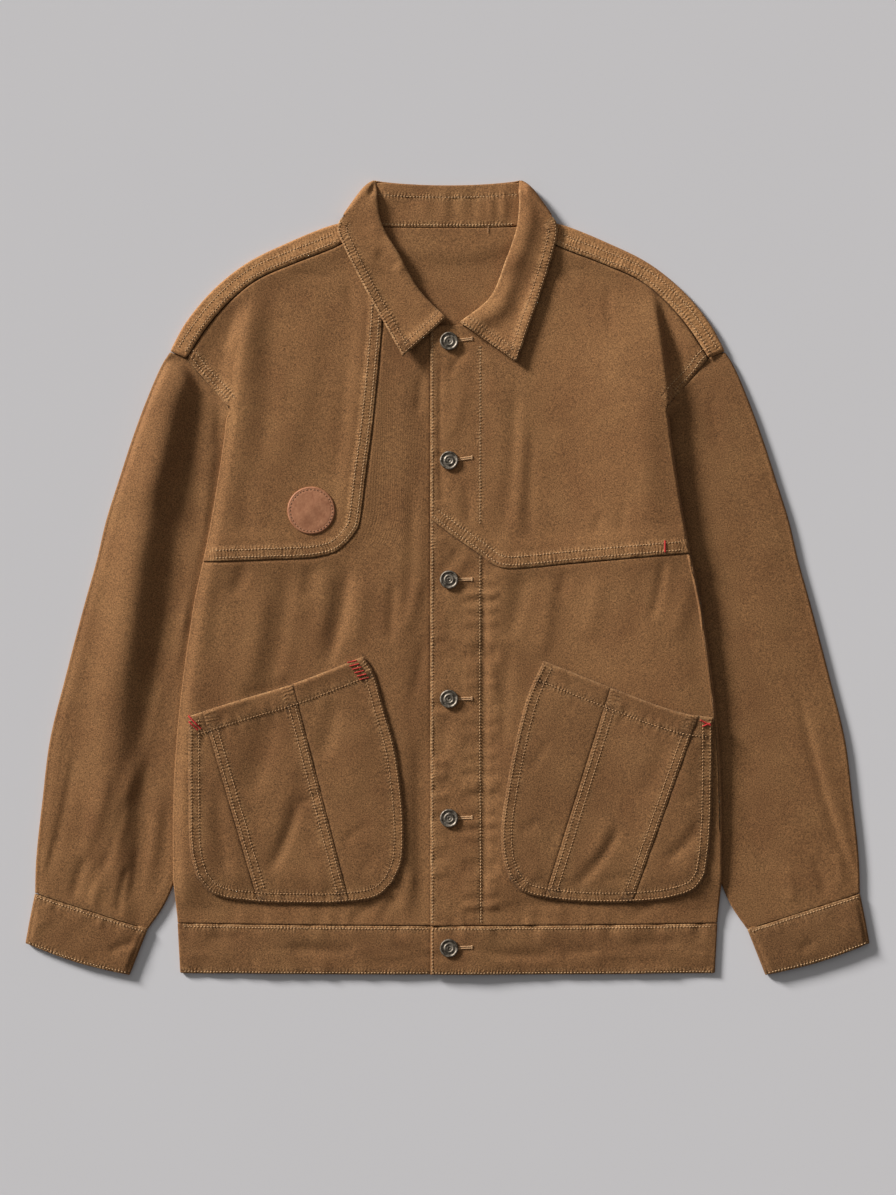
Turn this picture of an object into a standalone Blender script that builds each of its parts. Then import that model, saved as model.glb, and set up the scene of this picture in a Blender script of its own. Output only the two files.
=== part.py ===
"""A chore jacket laid flat on its back, front up, as one closed solid for each sewn piece.

Metres, +Z up. +X is the wearer's left, +Y points to the collar, and the table is z = 0.
Tables and functions work in millimetres, and an object's mesh is written in metres.
Cloth is a wall: each piece is a grid of points on its outside face, thickened inwards.
"""
import math

import bpy
import numpy as np

METRES = 0.001            # one millimetre
WALL = 1.4                # cloth thickness
GAP = 0.3                 # clearance between pieces
LAYER = WALL + GAP        # what one more layer of cloth adds
BODY_TOP = 4.0            # outside of the single-layer fronts, over the back
SIDE_RISE = 3.2           # height of a folded edge: two walls and the air between them
STRIP_TOP = BODY_TOP + LAYER   # outside of the shoulder strips, lapped on the fronts
LAP = 11                  # seam allowance that lies under a lapped edge
TURN_STEPS = 4            # facets round a folded edge

CENTRE_UNDER = 20         # x of the under front's free edge
CENTRE_OVER = -16         # x of the over front's free edge
PLACKET_END = 25          # the over front starts to come down here ...
PLACKET_FALL = 70         # ... and lies flat this much further out
HEM_TOP = -325            # y of the hem band's seam at the sides
HEM_BOTTOM = -372
HEM_SAG = 2.5             # how much lower the hem seam hangs at the centre
CREASE_START = 275        # y where the fold beside the armhole begins
FOLD_START = 159          # y where that fold first hides the armhole seam
TURN_START = 146          # y of the first row whose edge is turned under
SIDE_RAMP = 85            # the fronts climb to what they are turned under over this width
BUTTON_X = 1.5
BUTTON_YS = (222, 110, -2, -114, -226, -348)
BUTTON_RADIUS = 8.7
BADGE_CENTRE = (-128, 63)
BADGE_RADIUS = 22.3
BADGE_THICKNESS = 1.6

CLOTH = ((0.205, 0.102, 0.042), 0.92, 0.0)     # colour, roughness, metallic
METAL = ((0.20, 0.19, 0.175), 0.38, 1.0)
LEATHER = ((0.31, 0.125, 0.06), 0.62, 0.0)

# The sides of the body. y: height on the garment; fold: how far out the front folds under;
# seam: the armhole or side seam it is turned back to; under, ends: undersides at fold and seam.
SIDE = (
    # y, fold, seam, under, ends
    (159, 207, 205, 3.5, 3.5),
    (131, 210, 196, 3.5, 3.5),
    (78, 218, 187, 3.5, 3.5),
    (33, 226, 183, 3.5, 3.5),
    (-28, 239, 180, 3.5, 3.5),
    (-42, 241, 182, 3.5, 0.0),
    (-68, 245, 188, 3.5, 0.0),
    (-115, 251, 200, 3.5, 0.0),
    (-172, 256, 216, 3.5, 0.0),
    (-228, 258, 232, 3.5, 0.0),
    (-265, 258, 242, 3.5, 0.0),
    (-282, 258, 246, 3.4, 0.0),
    (-292, 257, 247, 2.8, 0.0),
    (-302, 256, 247, 1.7, 0.0),
    (-312, 255, 247, 0.5, 0.0),
    (-322, 254, 246, 0.1, 0.0),
    (-328, 254, 246, 0.0, 0.0),
)
# The crease beside the armhole, above the side fold: y, and how far out it runs.
CREASE = ((275, 188), (250, 195), (190, 204), (159, 207))

# The shoulder: where the back folds over to the front, and where its strip is sewn down.
SHOULDER = (
    # fold x, fold y, seam x, seam y
    (94.5, 334.5, 91, 319),
    (110, 331, 106, 311),
    (150, 315, 144, 296),
    (190, 295, 180, 280),
    (222, 269, 206, 259),
    (246, 240, 226, 236),
    (261, 213, 245.5, 206.5),
)
# The armhole seam, from the shoulder down to the underarm, as points outwards and up.
ARMHOLE = ((261, 212), (245, 206), (234, 192), (205, 159), (196, 131), (187, 78), (183, 33),
           (180, -8), (187, -22))
SLEEVE_OUTER = ((261, 212), (267, 203), (283, 167), (297, 129), (309, 92), (321, 54), (330, 16),
                (342, -27), (360, -96), (374, -153), (381, -209), (387, -266), (388, -297))
SLEEVE_INNER = ((187, -22), (195, -45), (211, -115), (227, -172), (243, -228), (257, -286),
                (267, -309), (282, -331))
CUFF_OUTER = ((388, -297), (393, -322), (397, -344))
CUFF_INNER = ((282, -331), (288, -346), (299, -374))
# Folds of the sleeve's upper wall: from (x0, y0) to (x1, y1), how wide and how high.
SLEEVE_FOLDS = (
    # x0, y0, x1, y1, width, height
    (285, 120, 322, -60, 17, 1.5),
    (318, -40, 336, -250, 20, 1.6),
    (262, 60, 268, -70, 12, 0.7),
    (300, -190, 306, -290, 9, 0.8),
)
SLEEVE_BULGE = 1.1

# The front neck seam, from the centre front up to the shoulder, outwards and up.
NECK = ((12, 237.5), (26, 239), (45, 249), (64, 265.5), (80, 290), (90, 318), (92.5, 334))
NECK_BACK = 329           # y of the back neck seam at the centre
ROLL_BACK = 369           # y of the collar's folded top edge at the centre back
ROLL_CORNER = (71.5, 372.5)
FALL_CORNER = (94, 337.5)     # where the collar's fall folds round the shoulder, at its outer edge
FALL_BACK = 312           # y of the fall's outer edge at the centre back, under the back
LEAF_LOW = 7.4            # outside of the collar leaves over the fronts
LEAF_HIGH = 9.1           # ... and over the shoulder strips
FLANGE = 3.4              # how far the fall turns in at its roll
STAND_UNDER = 1.7         # underside of the stand at the back
STAND_TOP = 5.1           # top of its front halves

LEAVES = {
    # side: sign of x, roll edge, outer edge, both from the shoulder to the front edge
    "left": (1, ((65, 331), (54, 297), (40, 264), (11, 240)), ((102, 325), (102, 316), (65, 202))),
    "right": (-1, ((62, 334), (45, 303), (26, 270), (1, 244)), ((102, 325), (98, 313), (42, 207))),
}

# Lap edge of the chest panel (x is negative: the wearer's right): inner edge, then lower edge.
CHEST_INNER = ((-60, 263), (-62, 234), (-65, 200), (-71, 141), (-77, 97), (-82, 56), (-84, 47))
CHEST_LOWER = ((-84, 47), (-90, 38), (-104, 25), (-120, 20), (-166, 17), (-225.3, 15))
# Lap edge of the yoke, from the placket out.
YOKE_LOWER = ((-16, 55), (4, 40), (31, 21), (45, 11), (56, 8.4), (78, 9.6), (106, 12.5), (167, 18),
              (227, 23))

YOKE_STOPS = (0, 0.08, 0.16, 0.24, 0.31, 0.39, 0.48, 0.58, 0.68, 0.78, 0.88, 0.95, 1)

# Pockets: top edge, sides and bottom, from the outer top corner round.
POCKETS = {
    "right": {
        "top": ((-243, -130), (-196, -115), (-146, -100), (-79, -74)),
        "inner": ((-79, -74), (-70, -86), (-59, -122), (-49, -157), (-43, -195), (-40, -237),
                  (-42, -268), (-50, -287)),
        "bottom": ((-235, -282), (-220, -298), (-188, -305), (-146, -307), (-94, -306),
                   (-64, -300), (-50, -287)),
        "outer": ((-243, -130), (-243, -205), (-241, -260), (-235, -282)),
        "seams": ((0.08, 0.33), (0.592, 0.761)),
    },
    "left": {
        "top": ((249, -131), (221, -127), (153, -103), (90, -78)),
        "inner": ((90, -78), (75, -111), (63, -157), (54, -205), (50, -237), (52, -265),
                  (58, -283)),
        "bottom": ((243, -279), (233, -293), (209, -302), (172, -306), (131, -306), (92, -302),
                   (71, -296), (58, -283)),
        "outer": ((249, -131), (249, -185), (247, -248), (243, -279)),
        "seams": ((0.08, 0.393), (0.598, 0.805)),
    },
}


def smooth(t):
    """0 below 0, 1 above 1, and an even S between."""
    t = np.clip(t, 0, 1)
    return t * t * (3 - 2 * t)


def slopes(t, values):
    """Tangents of a smooth curve through the values."""
    step = np.diff(values, axis=0) / np.diff(t)[:, None]
    inner = (step[1:] + step[:-1]) / 2
    return np.concatenate([step[:1], inner, step[-1:]])


def through(t, values, at):
    """A cubic through the values, read at the given places."""
    t = np.asarray(t, float)
    values = np.asarray(values, float)
    tangents = slopes(t, values)
    k = np.clip(np.searchsorted(t, at, side="right") - 1, 0, len(t) - 2)
    width = t[k + 1] - t[k]
    f = ((at - t[k]) / width)[:, None]
    width = width[:, None]
    return ((1 + 2 * f) * (1 - f) ** 2 * values[k] + f * (1 - f) ** 2 * width * tangents[k]
            + f * f * (3 - 2 * f) * values[k + 1] + f * f * (f - 1) * width * tangents[k + 1])


def lengths(points):
    """Share of a polyline's length that lies before each of its points."""
    steps = np.linalg.norm(np.diff(points, axis=0), axis=1)
    total = np.concatenate([[0], np.cumsum(steps)])
    return total / total[-1]


def curve(points, stops):
    """A smooth curve through the points, at evenly spaced stops or at given shares of its length."""
    points = np.asarray(points, float)
    if np.isscalar(stops):
        stops = np.linspace(0, 1, stops)
    fine = through(lengths(points), points, np.linspace(0, 1, 30 * len(points)))
    share = lengths(fine)
    return np.stack([np.interp(stops, share, fine[:, k]) for k in range(points.shape[1])], 1)


def stops_to_lap(length, count, near=(31, 17)):
    """Evenly spaced shares of a length, then the given distances before its end, and its end."""
    even = np.linspace(0, 1 - near[0] / length, count - len(near))
    return np.concatenate([even, [1 - step / length for step in near[1:]], [1]])


def patch(first, last, start, end):
    """Plan points between four edges: first and last row, and the first and last column."""
    u = (lengths(first) + lengths(last))[None, :, None] / 2
    v = (lengths(start) + lengths(end))[:, None, None] / 2
    corners = ((1 - u) * (1 - v) * first[0] + u * (1 - v) * first[-1]
               + (1 - u) * v * last[0] + u * v * last[-1])
    return (1 - v) * first + v * last + (1 - u) * start[:, None] + u * end[:, None] - corners


def read(table, column, y):
    """A column of a table whose first column is y, falling, read between its rows."""
    rows = np.array(table, float)[::-1]
    y = np.asarray(y, float)
    values = through(rows[:, 0], rows[:, column:column + 1], np.clip(y, rows[0, 0], rows[-1, 0]).ravel())
    return values.reshape(y.shape)


def line(table, column, y):
    """The same with straight runs between the rows."""
    rows = np.array(table, float)[::-1]
    return np.interp(y, rows[:, 0], rows[:, column])


def raised(plan, z):
    """Plan points with their heights."""
    z = np.broadcast_to(z, plan.shape[:-1])
    return np.concatenate([plan, z[..., None]], axis=-1)


def lift(x, y):
    """What the collar's fall, folded under the back of the neck, adds below every body layer."""
    edge = FALL_BACK + (FALL_CORNER[1] - FALL_BACK) * (x / FALL_CORNER[0]) ** 2
    return LAYER * smooth((y - edge + 22) / 16)


def fold_out(y):
    """How far out the side fold lies, or the crease that leads to it."""
    return np.where(y > FOLD_START, read(CREASE, 1, y), read(SIDE, 1, y))


def fold_top(y):
    """Outside height of the front at that fold."""
    climb = smooth((CREASE_START - y) / (CREASE_START - FOLD_START))
    crease = BODY_TOP + climb * (SIDE[0][3] + SIDE_RISE - BODY_TOP)
    return np.where(y > FOLD_START, crease, line(SIDE, 3, y) + SIDE_RISE)


def under_front(x, y):
    """Outside height of the single-layer fronts."""
    inside = fold_out(y) - np.abs(x)
    turned = np.where(y > FOLD_START, 0, read(SIDE, 1, y) - read(SIDE, 2, y) - 2)
    slope = smooth(1 - (inside - turned) / SIDE_RAMP)
    shape = np.where(inside > 0, slope, 1 - smooth(-inside / 6))
    return BODY_TOP + (fold_top(y) - BODY_TOP) * shape + lift(x, y)


def over_front(x, y):
    """Outside height of the over front, which lies on the under front along the placket."""
    return under_front(x, y) + LAYER * (1 - smooth((x - PLACKET_END) / PLACKET_FALL))


def lap(distance):
    """1 on a lapped edge's allowance, 0 well inside it."""
    return 1 - smooth((distance - LAP - 6) / 14)


def chest_top(x, y):
    inner = np.array(CHEST_INNER + CHEST_LOWER[1:3])[::-1]
    lower = np.array(CHEST_LOWER)[::-1]
    across = np.interp(y, inner[:, 1], inner[:, 0]) - x
    above = y - np.interp(x, lower[:, 0], lower[:, 1])
    return under_front(x, y) + LAYER * lap(np.minimum(across, above))


def yoke_top(x, y):
    lower = np.array(YOKE_LOWER)
    above = y - np.interp(x, lower[:, 0], lower[:, 1])
    return over_front(x, y) + LAYER * lap(above)


def hem_line(x):
    return HEM_TOP - HEM_SAG * (1 - (x / 252) ** 2)


def material(name, finish):
    colour, roughness, metallic = finish
    made = bpy.data.materials.new(name)
    made.use_nodes = True
    shader = made.node_tree.nodes["Principled BSDF"]
    shader.inputs["Base Color"].default_value = (*colour, 1)
    shader.inputs["Roughness"].default_value = roughness
    shader.inputs["Metallic"].default_value = metallic
    made.diffuse_color = (*colour, 1)
    return made


def solid(name, vertices, faces, finish):
    """A named object from points in millimetres."""
    mesh = bpy.data.meshes.new(name)
    mesh.from_pydata([tuple(v) for v in np.asarray(vertices) * METRES], [], faces)
    mesh.validate()
    mesh.shade_smooth()
    mesh.set_sharp_from_angle(angle=math.radians(50))
    made = bpy.data.objects.new(name, mesh)
    mesh.materials.append(material(name, finish))
    bpy.context.scene.collection.objects.link(made)
    return made


def sheet(name, outside, keep=None, ring=False):
    """A cloth wall inwards from a grid of points on its outside face.

    Rows by columns; a row's step times a column's step points out. keep marks the cells
    that are cloth, and a ring joins its last column to its first.
    """
    rows, columns = outside.shape[:2]
    cells = columns if ring else columns - 1
    if keep is None:
        keep = np.ones((rows - 1, cells), bool)
    normals = np.zeros_like(outside)
    for i, j in zip(*np.nonzero(keep)):
        k = (j + 1) % columns
        across = np.cross(outside[i + 1, k] - outside[i, j], outside[i, k] - outside[i + 1, j])
        across /= np.linalg.norm(across)
        for corner in ((i, j), (i + 1, j), (i + 1, k), (i, k)):
            normals[corner] += across
    size = np.linalg.norm(normals, axis=2, keepdims=True)
    inside = outside - WALL * normals / np.where(size > 0, size, 1)
    count = rows * columns
    faces = []
    for i, j in zip(*np.nonzero(keep)):
        k = (j + 1) % columns
        a, b, c, d = i * columns + j, (i + 1) * columns + j, (i + 1) * columns + k, i * columns + k
        faces.append((a, b, c, d))
        faces.append((a + count, d + count, c + count, b + count))
        left = (j - 1) % cells if ring else j - 1
        right = (j + 1) % cells if ring else j + 1
        if left < 0 or not keep[i, left]:
            faces.append((b, a, a + count, b + count))
        if i == rows - 2 or not keep[i + 1, j]:
            faces.append((c, b, b + count, c + count))
        if right >= cells or not keep[i, right]:
            faces.append((d, c, c + count, d + count))
        if i == 0 or not keep[i - 1, j]:
            faces.append((a, d, d + count, a + count))
    vertices = np.concatenate([outside.reshape(-1, 3), inside.reshape(-1, 3)])
    used = np.unique([corner for face in faces for corner in face])
    place = {int(old): new for new, old in enumerate(used)}
    faces = [tuple(place[int(corner)] for corner in face) for face in faces]
    return solid(name, vertices[used], faces, CLOTH)


def mirrored(grid):
    """The same piece on the wearer's right."""
    return grid[:, ::-1] * np.array([-1, 1, 1])


def turn(radius):
    """Points round a folded edge, from the upper face's end: outwards and up, about its middle."""
    angle = np.linspace(math.pi / 2, -math.pi / 2, TURN_STEPS + 1)[1:]
    return radius * np.cos(angle), radius * np.sin(angle)


def side_edge(y, top):
    """The front's side fold at one height: outwards and up, round the fold and back to the seam."""
    fold, seam = read(SIDE, 1, y), read(SIDE, 2, y)
    under, ends = line(SIDE, 3, y), line(SIDE, 4, y)
    radius = (top - under) / 2
    out, up = turn(radius)
    width = fold - radius - seam
    drop = min(8, 0.8 * width)
    back = np.array([drop + (width - drop) / 2, drop, 0.7 * drop, 0.4 * drop, 2 * GAP])
    level = ends + (under - ends) * smooth((back - 0.15 * drop) / (0.85 * drop))
    return (np.concatenate([fold - radius + out, seam + back]),
            np.concatenate([under + radius + up, level]))


def front_panel(name, side, plan, height, turned_from, keep=None):
    """A front panel: plan points from the centre out, then its side edge turned under.

    turned_from is the first row with a turned edge.
    """
    rows, columns = plan.shape[:2]
    top = raised(plan, height(plan[..., 0], plan[..., 1]))
    extra = TURN_STEPS + 5
    grid = np.zeros((rows, columns + extra, 3))
    grid[:, :columns] = top
    cells = np.ones((rows - 1, columns + extra - 1), bool)
    cells[:turned_from, columns - 1:] = False
    if keep is not None:
        cells[:, :columns - 1] &= keep
    for i in range(turned_from, rows):
        x, y = plan[i, -1]
        out, up = side_edge(float(y), float(top[i, -1, 2]))
        grid[i, columns:, 0] = side * out
        grid[i, columns:, 1] = y
        grid[i, columns:, 2] = up
    if side < 0:
        grid = grid[:, ::-1]
        cells = cells[:, ::-1]
    return sheet(name, grid, cells)


def side_points(side, ys, height):
    """Plan points where a front's upper face ends: at the armhole, then just inside its fold."""
    points = []
    for y in ys:
        if y > TURN_START:
            rows = np.array(ARMHOLE)[::-1]
            points.append((side * (np.interp(y, rows[:, 1], rows[:, 0]) - GAP / 2), y))
        else:
            fold = float(read(SIDE, 1, y))
            x = fold - 2
            top = float(height(np.array(side * x), np.array(float(y))))
            radius = (top - float(line(SIDE, 3, y))) / 2
            points.append((side * (fold - radius), y))
    return np.array(points)


def back():
    """The back, one cut with its two shoulder strips, which fold over to the front."""
    shoulder = np.array(SHOULDER, float)
    fold = shoulder[:, :2]
    sewn = shoulder[:, 2:]
    along = np.gradient(fold, axis=0)
    out = np.stack([-along[:, 1], along[:, 0]], 1)
    out = out / np.linalg.norm(out, axis=1)[:, None]
    neck = np.array([(60, 329.5), (30, NECK_BACK), (0, NECK_BACK)], float)
    radius = STRIP_TOP / 2
    near = fold - radius * out
    right = np.concatenate([near[::-1], neck]) * (-1, 1)
    left = np.concatenate([neck[::-1][1:], near])
    last = np.concatenate([right, left])
    bottom_x = last[:, 0] * (246 - GAP / 2) / last[-1, 0]
    first = np.stack([bottom_x, hem_line(bottom_x) + GAP / 2], 1)
    heights = np.array([HEM_TOP, -300, -228, -115, -42, -28, 33, 78, 131, 159, 192, 205])
    below = heights[:6]
    armhole = np.array(ARMHOLE)[:-1][::-1]
    seam = np.concatenate([read(SIDE, 2, below), np.interp(heights[6:], armhole[:, 1], armhole[:, 0])])
    edge = np.stack([seam - GAP / 2, heights.astype(float)], 1)
    edge[0] = first[-1]
    edge = np.concatenate([edge, last[-1:]])
    flat = patch(first, last, edge * (-1, 1), edge)
    near_top = [flat[-1] + share * (flat[-2] - flat[-1]) for share in (0.26, 0.12)]
    flat = np.concatenate([flat[:-1], near_top, flat[-1:]])
    level = lift(flat[..., 0], flat[..., 1])
    grid = [raised(flat[i], level[i]) for i in range(len(flat))]
    strips = len(shoulder)
    tops = []
    base = lift(near[:, 0], near[:, 1])
    for angle in np.linspace(-math.pi / 2, math.pi / 2, TURN_STEPS + 2)[1:]:
        shift = radius * math.cos(angle)
        tops.append(raised(near + shift * out, base + radius + radius * math.sin(angle)))
    for share in (0.5, 1.0):
        plan = near + share * (sewn - near)
        tops.append(raised(plan, STRIP_TOP + lift(plan[:, 0], plan[:, 1])))
    middle = len(last) - 2 * strips
    for row in tops:
        filler = np.repeat(row[:1], middle, axis=0)
        grid.append(np.concatenate([mirror_row(row), filler, row]))
    grid = np.array(grid)
    keep = np.ones((grid.shape[0] - 1, grid.shape[1] - 1), bool)
    keep[len(flat) - 1:, strips - 1:strips + middle] = False
    return sheet("back", grid, keep)


def mirror_row(row):
    return row[::-1] * np.array([-1, 1, 1])


def front_right():
    """The under front: a strip beside the chest panel, and the whole width below it."""
    ys = (31.0, 18.0, -26.0, -42.0, -90.0, -150.0, -228.0, -265.0, -286.0, -300.0, -314.0)
    centre = [(CENTRE_UNDER, y) for y in ys] + [(CENTRE_UNDER, float(hem_line(CENTRE_UNDER)) + GAP / 2)]
    outer_ys = [26.0, 15.0 - 3 * GAP] + list(ys[2:]) + [HEM_TOP + GAP / 2]
    outer = side_points(-1, outer_ys, under_front)
    strip = curve(((CENTRE_UNDER, 31), (-40, 31), (-102, 31)), 5)
    wide = curve(((-102, 31), (-160, 29), tuple(outer[0])), 8)[1:]
    first = np.concatenate([strip, wide])
    share = lengths(first)
    last_x = CENTRE_UNDER + share * (outer[-1, 0] - CENTRE_UNDER)
    last = np.stack([last_x, hem_line(last_x) + GAP / 2], 1)
    outer[-1] = last[-1]
    low = patch(first, last, np.array(centre), outer)
    neck = curve(((CENTRE_UNDER, 237.5), (-12, 237.5), (-26, 239), (-45, 249), (-64, 265.5)), 5)
    inner = curve(((CENTRE_UNDER, 237.5), (CENTRE_UNDER, 31)), 7)
    lapped = curve(((-64, 265.5), (-73, 234), (-76, 200), (-82, 141), (-88, 97), (-93, 56),
                    (-102, 31)), 7)
    high = patch(neck, strip, inner, lapped)[:-1]
    columns = low.shape[1]
    padded = np.zeros((len(high), columns, 2))
    padded[:, :len(strip)] = high
    padded[:, len(strip):] = low[0, len(strip):]
    plan = np.concatenate([padded, low])
    keep = np.ones((len(plan) - 1, columns - 1), bool)
    keep[:len(high), len(strip) - 1:] = False
    keep[len(high), -1:] = False
    return front_panel("front_right", -1, plan, under_front, len(high) + 1, keep=keep)


def strip_lap(top):
    """How far a front runs on under its shoulder strip, along its top edge."""
    reach = np.interp(np.abs(top[:, 0]), (91, 125), (4, LAP))
    return np.stack([0 * reach, reach], 1)


def chest_panel_right():
    """The chest panel, lapped on the under front and under the shoulder strip."""
    sewn = np.array(SHOULDER)[:, 2:] * (-1, 1)
    top = curve(sewn, (0, 0.05, 0.1, 0.2, 0.33, 0.47, 0.6, 0.74, 0.87, 1))
    neck = curve(((-91, 319), (-80, 290), (-64, 265.5), (-60, 263)), 12)
    inner = np.concatenate([neck, curve(CHEST_INNER, 12)[1:]])
    inner = curve(inner, stops_to_lap(330, 11))
    ys = (206.0, 192.0, 159.0, 145.0, 122.0, 98.0, 78.0, 60.0, 43.0, 28.0, 15.0)
    outer = side_points(-1, ys, chest_top)
    top[-1] = outer[0]
    inner[0] = top[0]
    lower = curve(CHEST_LOWER, (0, 0.06, 0.13, 0.25, 0.38, 0.5, 0.63, 0.76, 0.88, 1))
    lower[-1] = outer[-1]
    inner[-1] = lower[0]
    plan = patch(top, lower, inner, outer)
    plan = np.concatenate([(top + strip_lap(top))[None], plan])
    return front_panel("chest_panel_right", -1, plan, chest_top, 4)


def yoke_left():
    """The yoke with the top of the placket, lapped on the over front and under the strip."""
    sewn = np.array(SHOULDER)[:, 2:]
    neck = curve(((CENTRE_OVER, 236.5),) + NECK[:-2] + ((91, 319),), 6)
    top = np.concatenate([neck, curve(sewn, (0, 0.09, 0.2, 0.35, 0.5, 0.66, 0.83, 1))[1:]])
    ys = (206.0, 192.0, 159.0, 145.0, 122.0, 98.0, 78.0, 60.0, 45.0, 33.0, 23.0)
    outer = side_points(1, ys, yoke_top)
    top[-1] = outer[0]
    placket = curve(((CENTRE_OVER, 236.5), (CENTRE_OVER, 55)), stops_to_lap(181.5, len(ys), (24, 12)))
    lower = curve(YOKE_LOWER, YOKE_STOPS)
    lower[-1] = outer[-1]
    plan = patch(top, lower, placket, outer)
    under = top + strip_lap(top)
    under[:len(neck) - 1] = neck[:-1]
    plan = np.concatenate([under[None], plan])
    keep = np.ones((len(plan) - 1, plan.shape[1] - 1), bool)
    keep[0, :len(neck) - 1] = False
    return front_panel("yoke_left", 1, plan, yoke_top, 4, keep=keep)


def front_left():
    """The over front below the yoke, with the placket."""
    outer_ys = [33.0, 23.0 - 3 * GAP, -26.0, -42.0, -90.0, -150.0, -228.0, -265.0, -286.0, -300.0,
                -314.0, HEM_TOP + GAP / 2]
    outer = side_points(1, outer_ys, over_front)
    edge = curve(YOKE_LOWER, YOKE_STOPS)
    first = edge + (0, LAP)
    first[-1] = outer[0]
    second = edge - (0, 3 * GAP)
    second[-1] = outer[1]
    last_x = CENTRE_OVER + lengths(first) * (outer[-1, 0] - CENTRE_OVER)
    last = np.stack([last_x, hem_line(last_x) + GAP / 2], 1)
    outer[-1] = last[-1]
    centre = curve((tuple(second[0]), tuple(last[0])), len(outer) - 1)
    plan = patch(second, last, centre, outer[1:])
    plan = np.concatenate([first[None], plan])
    keep = np.ones((len(plan) - 1, plan.shape[1] - 1), bool)
    keep[0, -1:] = False
    return front_panel("front_left", 1, plan, over_front, 1, keep=keep)


def folds(table, x, y):
    """Height of the soft ridges of a table at these places."""
    total = np.zeros_like(x)
    for x0, y0, x1, y1, width, height in table:
        run = math.hypot(x1 - x0, y1 - y0)
        ux, uy = (x1 - x0) / run, (y1 - y0) / run
        ahead = (x - x0) * ux + (y - y0) * uy
        aside = (x - x0) * uy - (y - y0) * ux
        ends = smooth(ahead / (0.3 * run)) * smooth((run - ahead) / (0.3 * run))
        total += height * ends * np.exp(-(aside / width) ** 2)
    return total


def square_to(edge):
    """Plan directions square to a curve, to the right of its run."""
    along = np.gradient(edge, axis=0)
    square = np.stack([along[:, 1], -along[:, 0]], 1)
    return square / np.linalg.norm(square, axis=1)[:, None]


def flat_tube(name, side, outer, inner, head, end, height, lower_columns):
    """A flattened tube: its lower wall on the table, its upper wall at a given height."""
    top = patch(head, end, outer, inner)
    rows = len(top)
    radius = SIDE_RISE / 2
    beyond = [-square_to(outer), square_to(inner)]
    top[:, 0] -= radius * beyond[0]
    top[:, -1] -= radius * beyond[1]
    z = height(top[..., 0], top[..., 1])
    z[:, 0] = SIDE_RISE
    z[:, -1] = SIDE_RISE
    ring = []
    for i in range(rows):
        upper = raised(top[i], z[i])
        out, up = turn(radius)
        inner_turn = raised(top[i, -1] + out[:, None] * beyond[1][i], radius + up)
        lower = raised(top[i, lower_columns], 0.0)
        outer_turn = raised(top[i, 0] + out[::-1, None] * beyond[0][i], radius + up[::-1])
        ring.append(np.concatenate([upper, inner_turn[:-1], lower, outer_turn[1:]]))
    ring = np.array(ring)
    if side < 0:
        ring = mirrored(ring)
    return sheet(name, ring[:, ::-1], ring=True)


def sleeve_top(x, y):
    free = smooth((x - fold_out(y) - 4) / 30)
    cuff = smooth((y + 340) / 60)
    rows = np.array(SLEEVE_OUTER)[::-1]
    edge = smooth((np.interp(y, rows[:, 1], rows[:, 0]) - x) / 26)
    return SIDE_RISE + free * (SLEEVE_BULGE * edge * cuff + folds(SLEEVE_FOLDS, x, y))


def sleeve(name, side):
    rows = 10
    outer = curve(SLEEVE_OUTER, rows)
    inner = curve(SLEEVE_INNER, rows)
    head = np.array(ARMHOLE, float) + (GAP / 2, 0)
    stops = lengths(head)
    outer[0], inner[0] = head[0], head[-1]
    end = curve((SLEEVE_OUTER[-1], SLEEVE_INNER[-1]), stops) + (0, GAP / 2)
    outer[-1], inner[-1] = end[0], end[-1]
    return flat_tube(name, side, outer, inner, head, end, sleeve_top, [-1, 6, 3, 0])


def cuff(name, side):
    rows = 4
    outer, inner = curve(CUFF_OUTER, rows), curve(CUFF_INNER, rows)
    head = curve((CUFF_OUTER[0], CUFF_INNER[0]), 7) - (0, GAP / 2)
    end = curve((CUFF_OUTER[-1], (349, -361.5), CUFF_INNER[-1]), 7)
    outer[0], inner[0] = head[0], head[-1]
    outer[-1], inner[-1] = end[0], end[-1]

    def height(x, y):
        return SIDE_RISE + 0.5 * np.sin(math.pi * np.linspace(0, 1, x.shape[1]))[None, :] + 0 * x

    return flat_tube(name, side, outer, inner, head, end, height, [-1, 3, 0])


def hem_band():
    """The waistband: under the right front's edge, round the back, to the over front's edge."""
    turns = TURN_STEPS
    grid = []
    for share in (0, 0.5, 1):
        half = 254 - 2.5 * share
        radius = SIDE_RISE / 2
        reach = half - radius
        right = np.linspace(CENTRE_UNDER, -reach, 11)
        behind = np.linspace(-reach, reach, 5)
        left = np.linspace(reach, CENTRE_OVER, 12)
        y_right = band_y(right, share)
        y_behind = band_y(behind, share)
        y_left = band_y(left, share)
        up_right = np.stack([right, y_right, under_front(right, np.full(len(right), float(HEM_TOP)))], 1)
        up_right[-1, 2] = SIDE_RISE
        up_left = np.stack([left, y_left, over_front(left, np.full(len(left), float(HEM_TOP)))], 1)
        up_left[0, 2] = SIDE_RISE
        low = np.stack([behind, y_behind, np.zeros(len(behind))], 1)
        out, up = turn(radius)
        side_y = float(band_y(np.array([reach]), share)[0])
        around_right = np.stack([-reach - out, np.full(turns, side_y), radius + up], 1)[:-1]
        around_left = np.stack([reach + out[::-1], np.full(turns, side_y), radius + up[::-1]], 1)[1:]
        grid.append(np.concatenate([up_right, around_right, low, around_left, up_left]))
    return sheet("hem_band", np.array(grid)[:, ::-1])


def band_y(x, share):
    top = hem_line(x) - GAP / 2
    bottom = HEM_BOTTOM - 1.5 * (1 - (x / 252) ** 2)
    return top + share * (bottom - top)


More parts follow.
